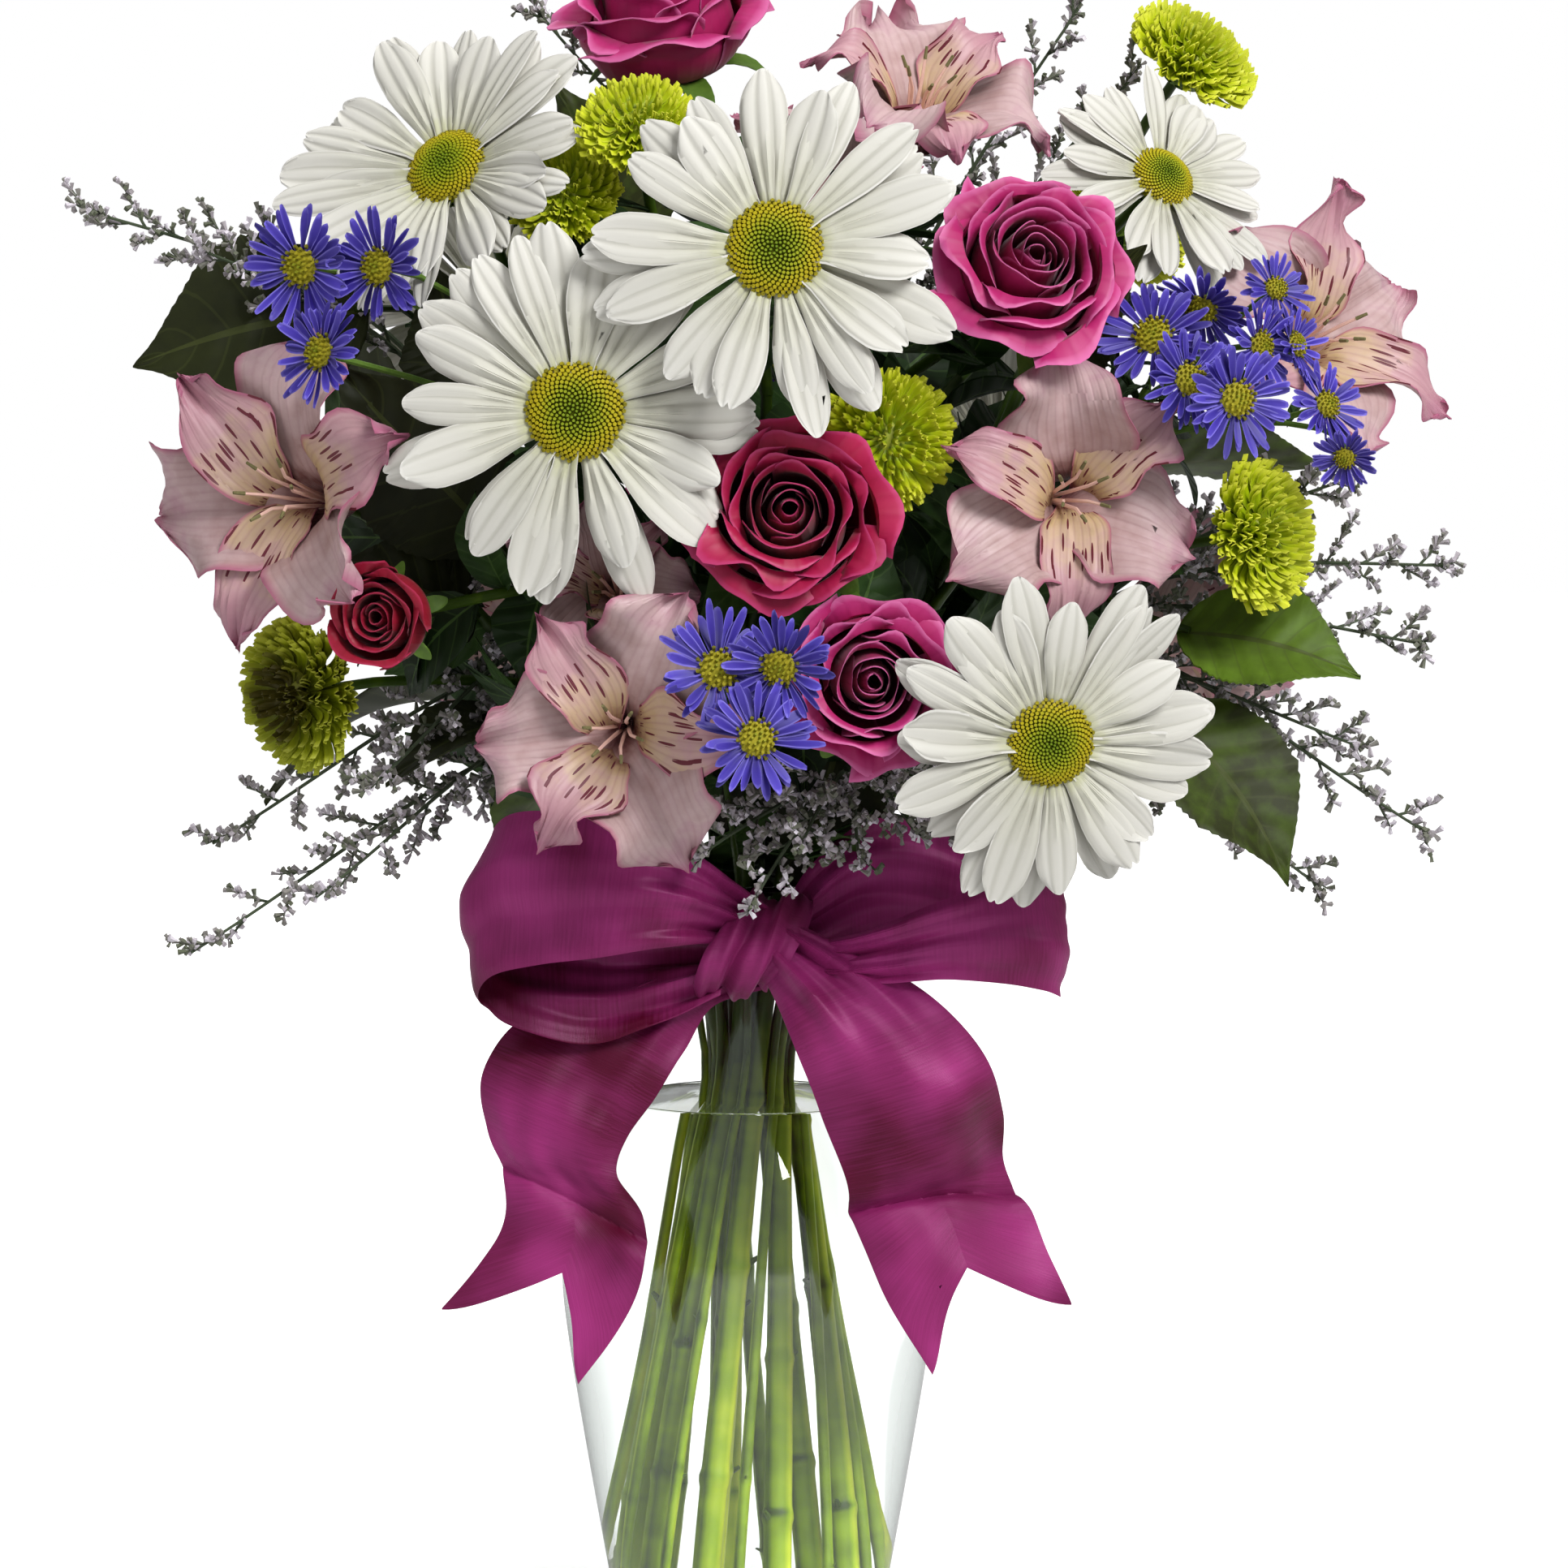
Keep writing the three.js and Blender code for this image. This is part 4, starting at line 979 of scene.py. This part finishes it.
def any_way(chance, reach):
    """A random offset of up to reach along each axis."""
    return Vector([chance.uniform(-reach, reach) for _ in range(3)])


def make_leader(bm, node, end, joints, sides=14, material=0):
    """The straight part in the water and the leader. It swells and darkens at each joint. Its tone
    paints light and shade: light yellow-green in the water, green in the neck and deep green in
    the bouquet's shade, with one side of it lighter than the other."""
    foot, foot_radius, leader = leader_of(node, end)
    chance = random.Random(node)
    steps = 84 if joints > 2 else 50  # short enough to show each joint
    path = [foot.lerp(leader[0], i / steps) for i in range(steps)] + leader
    spots = [chance.uniform(0.06, 0.26) + i * 0.33 for i in range(joints)]
    scars = [chance.uniform(0, math.tau) for _ in spots]
    radii, tones = [], []
    for i, point in enumerate(path):
        share = i / (len(path) - 1)
        joint = sum(math.exp(-((share - spot) / 0.011) ** 2) for spot in spots)
        near = [math.exp(-((share - spot - 0.006) / 0.006) ** 2) for spot in spots]
        taper = (1 - 0.3 * smooth_step(0, 0.85, share)) * (1 - 0.3 * smooth_step(0.88, 1, share))
        radii.append(foot_radius * taper * (1 + 0.16 * joint))
        # painted light and shade: lighter below the water line, where the stems stand in the light,
        # darker in the neck and bouquet
        lit_under_water = 1 - smooth_step(WATER_LEVEL - 4, WATER_LEVEL + 22, point.z)
        tones.append((0.24 + 0.48 * lit_under_water + chance.uniform(-0.02, 0.02), 0.05 + 0.23 * lit_under_water, near))
    # painted light: one side of each stem lighter and the other darker, turned at random from stem to
    # stem
    sunny = chance.uniform(-0.8, 0.8)

    def tone(along, angle):
        base, contrast, near = tones[min(int(along * len(path)), len(path) - 1)]
        scar = sum(n * (0.25 + 0.75 * max(0, math.cos(angle - turn))) for n, turn in zip(near, scars))
        light = math.cos(angle + sunny) + 0.4 * math.cos(5 * angle)
        return base + contrast * light - 0.4 * scar
    tube(bm, path, radii, sides, tone=tone, material=material, ridges=0.025)
    pairs = rings_around(path)
    stubs = new_mesh()
    for spot, turn in zip(spots, scars):  # what is left of a stripped leaf's stalk
        at = round(spot * (len(path) - 1))
        side, other = pairs[at]
        outward = side * math.cos(turn) + other * math.sin(turn)
        aim = (outward + side.cross(other) * 0.9).normalized()
        cone(stubs, path[at] + outward * radii[at] * 0.75, aim, foot_radius * 0.55,
             foot_radius * 0.3, foot_radius * 0.9, sides=6, tone=0.34, material=material)
    join(bm, stubs)
    return leader


def leaf_blade(bm, base, tip, looks, width, chance, teeth=0, fold=0.12, material=0, tone=0.3,
               columns=8, rows=12, widest=0.42):
    """A leaf with its midrib from base to tip, folded along it and arched back at the tip."""
    along = tip - base
    length = along.length
    along = along.normalized()
    side = along.cross(looks).normalized()
    up = side.cross(along)
    waves = chance.uniform(0, math.tau)
    arch = chance.uniform(0.06, 0.16)

    def place(across, share):
        swell = math.sin(math.pi * share ** (math.log(0.5) / math.log(widest))) ** 0.8
        half = width / 2 * swell * (1 - 0.2 * smooth_step(0.6, 0.8, share)
                                    - 0.35 * smooth_step(0.76, 0.97, share))
        if teeth:
            half *= 1 + 0.035 * abs(across) * (2 * (share * teeth % 1) - 1)
        height = arch * length * math.sin(math.pi * share)
        height += fold * width * abs(across) ** 1.5 * swell
        height += 0.03 * width * math.sin(9 * share + waves) * abs(across)
        return (base + along * (share * length) + side * (across * half)
                + up * (height - arch * length * 0.5))
    sheet(bm, columns, rows, place, tone=tone, material=material, thickness=LEAF_THICKNESS)


LEAF_KINDS = {  # length, width, teeth and widest part of the small leaves on each kind of stem
    "daisy": (36, 16, 5, 0.55), "mum": (32, 15, 5, 0.55), "rose": (30, 18, 14, 0.42),
    "alstroemeria": (42, 12, 0, 0.4),
}
LEADER_LEAVES = 12
BRANCH_LEAVES = 7
MASS_CENTRE = Vector((3, 0, 258))  # small leaves stay inside this egg, so blooms make the outline
MASS_REACH = (112, 88, 92)


def inside_mass(spot):
    """Whether a spot lies within the bouquet's leafy inside."""
    away = spot - MASS_CENTRE
    return sum((away[i] / MASS_REACH[i]) ** 2 for i in range(3)) < 1


def leaf_along(bm, path, at, kind, chance, material):
    """A leaf that leans out from a stem at a share of its length, turned until it has room."""
    length, width, teeth, widest = LEAF_KINDS[kind]
    start = through(path, at)
    along = (through(path, min(at + 0.05, 1)) - through(path, max(at - 0.05, 0))).normalized()
    reach = length * chance.uniform(0.75, 1.15)
    for _ in range(8):
        around = Matrix.Rotation(chance.uniform(0, math.tau), 3, along) @ along.orthogonal()
        outward = (along * chance.uniform(0.2, 0.8) + around).normalized()
        if inside_mass(start + outward * reach):
            looks = (start - MASS_CENTRE).normalized() + UP * 0.3
            leaf_blade(bm, start, start + outward * reach, looks, width * chance.uniform(0.8, 1.15),
                       chance, teeth=teeth, widest=widest, material=material,
                       tone=chance.uniform(0.0, 0.75), columns=6, rows=10)
            return


def make_flower_stem(node, end, blooms):
    """A flower stem: its leader, a branch to each of its blooms, and the leaves left on them."""
    bm = new_mesh()
    chance = random.Random(node + "_leaves")
    leader = make_leader(bm, node, end, joints=3)
    for i in range(LEADER_LEAVES):
        leaf_along(bm, leader, 0.4 + 0.05 * i, node.split("_")[0], chance, 1)
    for bloom, share in blooms.items():
        at, facing, radius = head_place(bloom)
        kind = bloom.split("_")[0]
        tip = at - facing * (FACE_DEPTH[kind](radius) - 0.5)
        path = branch(leader, share, tip, facing)
        radii = [1.5 - 0.35 * i / len(path) for i in range(len(path))]
        tube(bm, path, radii, 8, tone=0.25)
        for i in range(BRANCH_LEAVES):
            leaf_along(bm, path, 0.3 + 0.08 * i, kind, chance, 1)
    piece(node + "_rind", bm, [FRESH_STEM, SOFT_LEAF], "green_stem", node)


# ---------------------------------------------------------------- asters, caspia, evergreen


ASTER_RAYS = 18
ASTER_DISC_FLORETS = 46


def make_aster_head(bm, at, facing, radius, chance):
    """A small aster: two rows of narrow rays round a broad golden disc."""
    matrix = looking(at, facing)
    for row in range(2):
        for i in range(ASTER_RAYS):
            angle = math.tau * (i + 0.5 * row + chance.uniform(-0.4, 0.4)) / ASTER_RAYS
            length = radius * chance.uniform(0.58, 0.86)
            place = ray_floret(length, radius * chance.uniform(0.12, 0.18), radius * 0.26,
                               0.1 + 0.2 * row + chance.uniform(-0.15, 0.2),
                               chance.uniform(-0.15, 0.25), 0.2, twist=chance.uniform(-0.5, 0.5))
            spin = Matrix.Rotation(angle, 4, "Z")
            sheet(bm, 2, 5, turned(place, matrix @ spin), thickness=ASTER_THICKNESS,
                  tone=chance.uniform(0, 0.75) * (1 - 0.4 * row))
    dome(bm, matrix, radius * 0.33, 1.6, 0, 0.5, 1, rings=3, sides=10)
    disc_florets(bm, matrix, radius * 0.35, 1.7, 0.3, ASTER_DISC_FLORETS, radius * 0.07, 1)
    under = matrix @ Matrix.Translation((0, 0, -0.8))
    dome(bm, under, radius * 0.24, -2.4, 0, 0.3, 2, rings=3, sides=10)


def make_aster_spray(node, end, blooms, faces, radius, scatter):
    """A spray of asters on thin branches that all leave near the leader's end."""
    bm = new_mesh()
    chance = random.Random(node)
    leader = make_leader(bm, node, end, joints=2, sides=8, material=4)
    for i, bloom in enumerate(blooms):
        at = Vector(bloom)
        facing = (Vector(faces).normalized() + any_way(chance, scatter)).normalized()
        path = branch(leader, 0.98, at - facing * 2.5, facing)
        tube(bm, path, [0.7] * len(path), 6, tone=0.2, material=2)
        make_aster_head(bm, at, facing, radius * (1 - 0.055 * i), chance)
        for base in (path[3], path[5]):
            aim = any_way(chance, 1).normalized()
            leaf_blade(bm, base, base + aim * 14, UP, 3, chance, material=3, columns=4, rows=7)
    piece(node + "_bloom", bm, [VIOLET_RAY, ASTER_DISC, CALYX, SOFT_LEAF, FRESH_STEM], "aster",
          node)


def caspia_twig(bm, start, aim, length, chance):
    """A wiry twig with tiny cupped florets crowded all along it."""
    end = start + aim * length + UP * length * 0.12
    path = curve(start, start + aim * length * 0.3, end - aim * length * 0.25, end, 5)
    tube(bm, path, [0.4, 0.36, 0.32, 0.26, 0.2], 3, tone=0.4, material=1)
    florets = max(5, round(length / 0.5))
    part = new_mesh()
    for i in range(florets):
        share = 0.15 + 0.85 * (i + 0.5) / florets
        spot = through(path, share)
        lean = (aim * 0.7 + UP * chance.uniform(-0.2, 1.2) + any_way(chance, 0.9)).normalized()
        size = chance.uniform(0.65, 1.1)
        cone(part, spot, lean, 0.5 * size, 1.4 * size, 2.4 * size, sides=4,
             tone=chance.uniform(0.0, 1.0) ** 1.3)
    join(bm, part)


PLUME_STEPS = 24
TWIG_TURN = 2.4  # how far round the plume each twig stands from the last, in radians


def make_caspia_spray(node, end, plumes):
    """A spray of wispy plumes, each an arched branch with floret-crowded twigs all round it."""
    bm = new_mesh()
    chance = random.Random(node)
    leader = make_leader(bm, node, end, joints=1, sides=8, material=2)
    for share, tip in plumes.items():
        tip = Vector(tip)
        start = through(leader, share)
        ahead = (start - through(leader, share - 0.05)).normalized()
        reach = (tip - start).length
        rest = tip.lerp(start, 0.4) + UP * reach * 0.08
        path = curve(start, start + ahead * reach * 0.3, rest, tip, PLUME_STEPS)
        radii = [0.75 - 0.45 * i / PLUME_STEPS for i in range(PLUME_STEPS)]
        tube(bm, path, radii, 5, tone=0.5, material=1)
        twigs = round(min(18, max(7, reach / 4.5)))
        for i in range(twigs):
            at = 0.28 + 0.7 * i / (twigs - 1)
            spot = through(path, at)
            along = (through(path, min(at + 0.02, 1)) - through(path, at - 0.02)).normalized()
            around = Matrix.Rotation(i * TWIG_TURN, 3, along) @ along.orthogonal()
            aim = (along * 1.1 + around * chance.uniform(0.6, 1)).normalized()
            caspia_twig(bm, spot, aim, 19 * (1.2 - at) * chance.uniform(0.75, 1.2) + 3, chance)
        caspia_twig(bm, path[-2], (path[-1] - path[-3]).normalized(), 7, chance)
    piece(node + "_florets", bm, [CASPIA_FLORET, CASPIA_TWIG, FRESH_STEM], "caspia", node)


def make_leaf_branch(node, end, leaves):
    """A branch of large, finely toothed evergreen leaves."""
    bm = new_mesh()
    chance = random.Random(node)
    leader = make_leader(bm, node, end, joints=2, sides=8, material=1)
    for i, (base, tip, looks, width, tone) in enumerate(leaves):
        base, tip, looks = Vector(base), Vector(tip), Vector(looks).normalized()
        along = (tip - base).normalized()
        path = branch(leader, 0.98 - 0.08 * i, base + along * 3, along)
        tube(bm, path, [0.8] * len(path), 6, tone=0.1, material=1)
        leaf_blade(bm, base, tip, looks, width, chance, teeth=26, fold=0.1, columns=14, rows=52,
                   tone=tone)
    piece(node + "_blades", bm, [EVERGREEN, FRESH_STEM], "leaf", node)


# ---------------------------------------------------------------- vase and water


VASE_SEGMENTS = 96
OUTLINE_STEPS = 60


def spin_round(bm, profile):
    """Turns a closed or axis-to-axis profile of (radius, height) about the vase's axis."""
    verts = [bm.verts.new((radius, 0, height)) for radius, height in profile]
    edges = [bm.edges.new(pair) for pair in zip(verts, verts[1:])]
    bmesh.ops.spin(bm, geom=verts + edges, cent=(0, 0, 0), axis=(0, 0, 1), angle=math.tau,
                   steps=VASE_SEGMENTS, use_merge=True)
    bmesh.ops.remove_doubles(bm, verts=bm.verts, dist=1e-4)
    bmesh.ops.recalc_face_normals(bm, faces=bm.faces)


def vase_side(inset=0.0, lowest=0.0, steps=OUTLINE_STEPS):
    """The smooth outline of the vase, moved in by a wall."""
    points = [Vector(point) for point in VASE_OUTLINE]
    line = [through(points, i / steps) for i in range(steps + 1)]
    return [(radius - inset, height) for radius, height in line if height > lowest]


def vase_radius(height):
    """The vase's outer radius at a height."""
    return min(vase_side(steps=200), key=lambda point: abs(point[1] - height))[0]


def make_vase():
    """Glass of one thickness, with a rounded lip and a foot that stands on its rim."""
    bm = new_mesh()
    outer = vase_side()
    inner = vase_side(VASE_WALL, VASE_FLOOR + 3)
    lip = [(outer[-1][0] - 0.4, outer[-1][1] + 0.35), (outer[-1][0] - 1.5, outer[-1][1] + 0.6),
           (outer[-1][0] - 2.6, outer[-1][1] + 0.35)]
    floor = [(inner[0][0] - 1, VASE_FLOOR + 1.2), (inner[0][0] - 3.5, VASE_FLOOR + 0.2),
             (inner[0][0] * 0.5, VASE_FLOOR), (0, VASE_FLOOR)]
    foot = [(0, 1.2), (20, 1.2), (24, 0.4), (26.5, 0), (28, 0.1), (29, 0.6)]
    spin_round(bm, foot + outer + lip + inner[::-1] + floor)
    vase = piece("vase_glass", bm, [GLASS], "clear_glass", "vase")
    vase.visible_shadow = False


def make_water():
    """The water wets the glass, so its side lies just inside the glass's inner face."""
    bm = new_mesh()
    soak = 0.12
    side = [(radius + soak, height) for radius, height in vase_side(VASE_WALL, VASE_FLOOR + 3)
            if height < WATER_LEVEL - 1]
    corner, bottom = side[0][0], VASE_FLOOR - soak
    floor = [(0, bottom), (corner * 0.5, bottom), (corner - 3.5, bottom + 0.2),
             (corner - 1, bottom + 1.2)]
    rim = vase_radius(WATER_LEVEL) - VASE_WALL + soak
    surface = [(rim, WATER_LEVEL + 0.6), (rim - 0.8, WATER_LEVEL), (rim - 3, WATER_LEVEL - 0.2),
               (0, WATER_LEVEL - 0.2)]
    spin_round(bm, floor + side + surface)
    water = piece("vase_water", bm, [WATER], "water", "water")
    water.visible_shadow = False


# ---------------------------------------------------------------- ribbon

BAND_MIDDLE = 157  # the height at which it goes round the neck
BAND_HALF_HEIGHT = 6  # drawn together into folds
BAND_RADIUS = 28.6

# Each stretch of ribbon as pairs of points, one on each edge, in mm.
LEFT_LOOP = [
    ((8, -43, 167), (5, -43, 157)), ((-3, -48, 175), (-6, -50, 162)),
    ((-16, -52, 184), (-19, -57, 162)), ((-30, -53, 189), (-33, -59, 160)),
    ((-44, -51, 191), (-45, -55, 158)), ((-55, -46, 189), (-54, -51, 155)),
    ((-60, -41, 183), (-57, -47, 149)), ((-54, -37, 172), (-52, -48, 144)),
    ((-40, -36, 168), (-38, -50, 141)), ((-22, -37, 166), (-22, -50, 144)),
    ((-4, -40, 162), (-6, -47, 150)),
]
RIGHT_LOOP = [
    ((6, -43, 163), (6, -43, 154)), ((17, -48, 163), (17, -49, 153)),
    ((30, -54, 167), (30, -55, 154)), ((42, -56, 172), (43, -57, 155)),
    ((54, -53, 176), (56, -55, 154)), ((64, -49, 176), (65, -51, 152)),
    ((69, -44, 173), (68, -45, 150)), ((65, -39, 175), (64, -39, 153)),
    ((52, -35, 181), (50, -36, 158)), ((38, -33, 187), (37, -35, 160)),
    ((26, -33, 187), (26, -34, 160)), ((15, -35, 178), (16, -36, 158)),
    ((8, -38, 167), (8, -38, 156)),
]
LEFT_TAIL = [
    ((-6, -36, 155), (4, -39, 151)), ((-24, -36, 152), (-8, -42, 147)),
    ((-41, -37, 149), (-14, -45, 138)), ((-52, -38, 142), (-20, -48, 129)),
    ((-58, -40, 132), (-27, -50, 120)), ((-57, -40, 121), (-29, -50, 111)),
    ((-54, -40, 113), (-23, -51, 102)), ((-53, -43, 102), (-23, -55, 91)),
    ((-58, -46, 91), (-29, -56, 78)), ((-66, -46, 81), (-37, -55, 66)),
]
RIGHT_TAIL = [
    ((0, -47, 160), (9, -46, 167)), ((6, -51, 150), (26, -49, 159)),
    ((11, -55, 138), (40, -49, 150)), ((16, -55, 126), (51, -47, 138)),
    ((21, -53, 112), (56, -44, 124)), ((22, -50, 104), (57, -40, 112)),
    ((26, -53, 95), (63, -44, 103)), ((31, -55, 83), (67, -46, 92)),
    ((40, -54, 68), (71, -46, 82)),
]
KNOT_WRAP = [
    ((0, -27, 166), (12, -27, 168)), ((-1, -36, 170), (14, -36, 171)),
    ((-4, -46, 169), (14, -45, 170)), ((-8, -52, 163), (12, -51, 164)),
    ((-11, -52, 157), (9, -51, 158)), ((-12, -46, 152), (5, -46, 153)),
    ((-11, -36, 151), (4, -36, 152)), ((-8, -27, 154), (5, -27, 154)),
]


def ribbon_stretch(bm, edges, seed, gathers, notch=0.0, bulge=0.0, curl=(0.0, 0.0, 0.5), crease=None,
                   crumple=1.6, columns=30, rows=110):
    """Ribbon between two edges. gathers is the height of the pleats at its start, middle and
    end, curl how far each edge turns out and where, crease where it was folded once and how
    deep."""
    firsts = [Vector(pair[0]) for pair in edges]
    seconds = [Vector(pair[1]) for pair in edges]
    pleats = [2.0 + 0.7 * noise.noise(Vector((seed, i, 0))) for i in range(2)]

    def spot(across, along):
        return through(firsts, along).lerp(through(seconds, along), (across + 1) / 2)

    def place(across, along):
        share = along - notch * (1 - abs(across)) * smooth_step(0.55, 1, along)
        middle = spot(across, share)
        ahead = spot(across, min(share + 0.02, 1)) - spot(across, max(share - 0.02, 0))
        beside = through(seconds, share) - through(firsts, share)
        normal = ahead.cross(beside).normalized()
        near, far = 1 - smooth_step(0, 0.34, share), smooth_step(0.62, 1, share)
        held = gathers[0] * near + gathers[1] * (1 - near) * (1 - far) + gathers[2] * far
        spread = across * math.pi
        height = held * math.sin(pleats[0] * spread + seed + 2 * share)
        height += 0.5 * held * math.sin(2.3 * pleats[1] * spread + seed * 2 - 3 * share)
        height += bulge * (1 - across * across) * math.sin(math.pi * share)
        height += crumple * noise.noise(middle * 0.034 + Vector((seed, 0, 0)))
        height += 0.35 * crumple * noise.noise(middle * 0.08 + Vector((0, seed, 0)))
        turned_out = math.exp(-((share - curl[2]) / 0.12) ** 2)
        height += turned_out * curl[0] * smooth_step(0.3, 1, -across)
        height += turned_out * curl[1] * smooth_step(0.3, 1, across)
        height += 0.9 * math.sin(17 * share + seed) * across ** 4 * min(1, 5 * share)
        if crease:
            height -= crease[1] * math.exp(-abs(share - crease[0] - 0.02 * across) / 0.018)
        return middle + normal * height
    sheet(bm, columns, rows, place, thickness=RIBBON_THICKNESS)


def make_ribbon():
    """One ribbon tied round the neck: a crumpled band, two loops, two ends and the knot."""
    bm = new_mesh()
    ribbon_stretch(bm, LEFT_LOOP, 1.0, (2.0, 0.25, 2.2), bulge=2.5, curl=(-5, 3, 0.55), rows=160,
                   crumple=4)
    ribbon_stretch(bm, RIGHT_LOOP, 2.0, (2.6, 0.25, 1.9), bulge=-2, curl=(0, 2, 0.3), rows=160,
                   crumple=4)
    ribbon_stretch(bm, LEFT_TAIL, 3.0, (2.2, 0.25, 0), notch=0.16, crease=(0.7, 1.8), bulge=3,
                   crumple=5)
    ribbon_stretch(bm, RIGHT_TAIL, 4.0, (2.4, 0.25, 0), notch=0.16, crease=(0.66, 2.8), bulge=4,
                   crumple=5)
    ribbon_stretch(bm, KNOT_WRAP, 5.0, (1.4, 1.4, 1.4), bulge=1, crumple=3, columns=34, rows=60)

    def band(across, along):
        angle = along * math.tau
        spot = polar(BAND_RADIUS, angle, BAND_MIDDLE + across * BAND_HALF_HEIGHT)
        loose = 1 + 0.6 * noise.noise(spot * 0.06)
        fold = 1.3 * loose * math.sin(across * 9 + 1.4 * math.sin(angle * 2) + 0.6 * math.sin(angle * 5))
        fold += 1.4 * noise.noise(spot * 0.16)
        height = BAND_MIDDLE + across * BAND_HALF_HEIGHT * loose + 1.2 * math.sin(angle * 2 + 1)
        return polar(BAND_RADIUS + fold, angle, height)
    sheet(bm, 34, 120, band, thickness=RIBBON_THICKNESS)
    ribbon = piece("ribbon_bow_taffeta", bm, [TAFFETA], "ribbon", "ribbon_bow")


# ---------------------------------------------------------------- the bouquet

make_vase()
make_water()
make_ribbon()
for node, settings in DAISIES.items():
    make_daisy(node, *settings)
for node, settings in ROSES.items():
    make_rose(node, *settings)
for node in NODES:
    if node.startswith("mum_") and "stem" not in node:
        make_mum(node)
for node, settings in ALSTROEMERIAS.items():
    make_alstroemeria(node, *settings)
for makers, make in ((FLOWER_STEMS, make_flower_stem), (ASTER_SPRAYS, make_aster_spray),
                     (CASPIA_SPRAYS, make_caspia_spray), (LEAF_BRANCHES, make_leaf_branch)):
    for node, settings in makers.items():
        make(node, *settings)

# ---------------------------------------------------------------- studio

TARGET = Vector((7.85, 0, 192.4)) * MM  # what the middle of the picture looks at
CAMERA_DISTANCE = 1.5
CAMERA_ELEVATION = math.radians(5)
FRAME_WIDTH = 0.3526  # what the picture spans at the target
SENSOR = 36

camera_data = bpy.data.cameras.new("camera")
camera_data.sensor_width = SENSOR
camera_data.lens = SENSOR * CAMERA_DISTANCE / FRAME_WIDTH
camera = placed("camera", camera_data)
camera.location = TARGET + CAMERA_DISTANCE * Vector(
    (0, -math.cos(CAMERA_ELEVATION), math.sin(CAMERA_ELEVATION)))
camera.rotation_euler = (TARGET - camera.location).to_track_quat("-Z", "Y").to_euler()
bpy.context.scene.camera = camera

SOFTBOXES = {  # place and size in metres, and power in watts
    "key_light": ((0.9, -1.3, 1.4), 0.7, 36),
    "fill_light": ((-1.3, -1.0, 0.8), 1.2, 4.8),
    "top_light": ((0, 0.3, 1.7), 0.9, 8),
    "back_light": ((-0.6, 1.5, 0.9), 1.2, 17),
}
for name, (place, size, power) in SOFTBOXES.items():
    light = bpy.data.lights.new(name, "AREA")
    light.size = size
    light.energy = power
    lamp = placed(name, light)
    lamp.visible_transmission = False
    lamp.visible_glossy = name == "key_light"  # the glass mirrors only this one
    lamp.location = place
    lamp.rotation_euler = (TARGET - Vector(place)).to_track_quat("-Z", "Y").to_euler()


def plainly_seen(material):
    """1 where the eye looks straight or through glass at something, less where it is mirrored in
    glass or water, and 0 where it only lights the flowers."""
    paths = add(material, "LightPath")
    behind = add(material, "Math", {0: paths.outputs["Transmission Depth"], 1: 0.5},
                 operation="GREATER_THAN")
    undiffused = add(material, "Math", {0: paths.outputs["Diffuse Depth"], 1: 0.5},
                     operation="LESS_THAN")
    plain = add(material, "Math", {0: paths.outputs["Glossy Depth"], 1: 0.5},
                operation="LESS_THAN")
    dimmed = add(material, "Math", {0: plain, 1: 0.4, 2: 0.6}, operation="MULTIPLY_ADD")
    through_glass = add(material, "Math", {0: behind, 1: undiffused}, operation="MULTIPLY")
    through_glass = add(material, "Math", {0: through_glass, 1: dimmed}, operation="MULTIPLY")
    return add(material, "Math", {0: paths.outputs["Is Camera Ray"], 1: through_glass},
               operation="MAXIMUM")


# The backdrop is white to the eye and lights the flowers more softly.
BACKDROP_LIGHT = 0.31
world = bpy.data.worlds.new("studio")
world.use_nodes = True
backdrop = world.node_tree.nodes["Background"]
strength = add(world, "Math", {0: plainly_seen(world), 1: BACKDROP_LIGHT}, operation="MAXIMUM")
feed(world, backdrop, Strength=strength)
backdrop.inputs["Color"].default_value = (1, 1, 1, 1)
bpy.context.scene.world = world
bpy.context.scene.view_settings.view_transform = "Standard"

# A white sweep: it looks as bright as the backdrop, and takes a faint shadow near the vase.
floor_material, floor_shader = new_material("pale_floor", Base_Color=linear("#c4c4c4"),
                                            Roughness=0.9, Emission_Color=(1, 1, 1, 1))
place = add(floor_material, "TexCoord")
away = add(floor_material, "VectorMath", {0: place.outputs["Object"]}, operation="LENGTH")
even = add(floor_material, "MapRange", {"Value": away.outputs["Value"], "From Min": 0.05,
                                        "From Max": 0.75, "To Min": 0.5, "To Max": 0.82})
glow = add(floor_material, "Math", {0: plainly_seen(floor_material), 1: even},
           operation="MULTIPLY")
feed(floor_material, floor_shader, Emission_Strength=glow)
floor_bm = new_mesh()
bmesh.ops.create_grid(floor_bm, x_segments=1, y_segments=1, size=4)
floor_mesh = bpy.data.meshes.new("floor")
floor_bm.to_mesh(floor_mesh)
floor_bm.free()
floor_mesh.materials.append(floor_material)
floor = placed("floor", floor_mesh)
bpy.data.meshes.remove(SCRATCH)
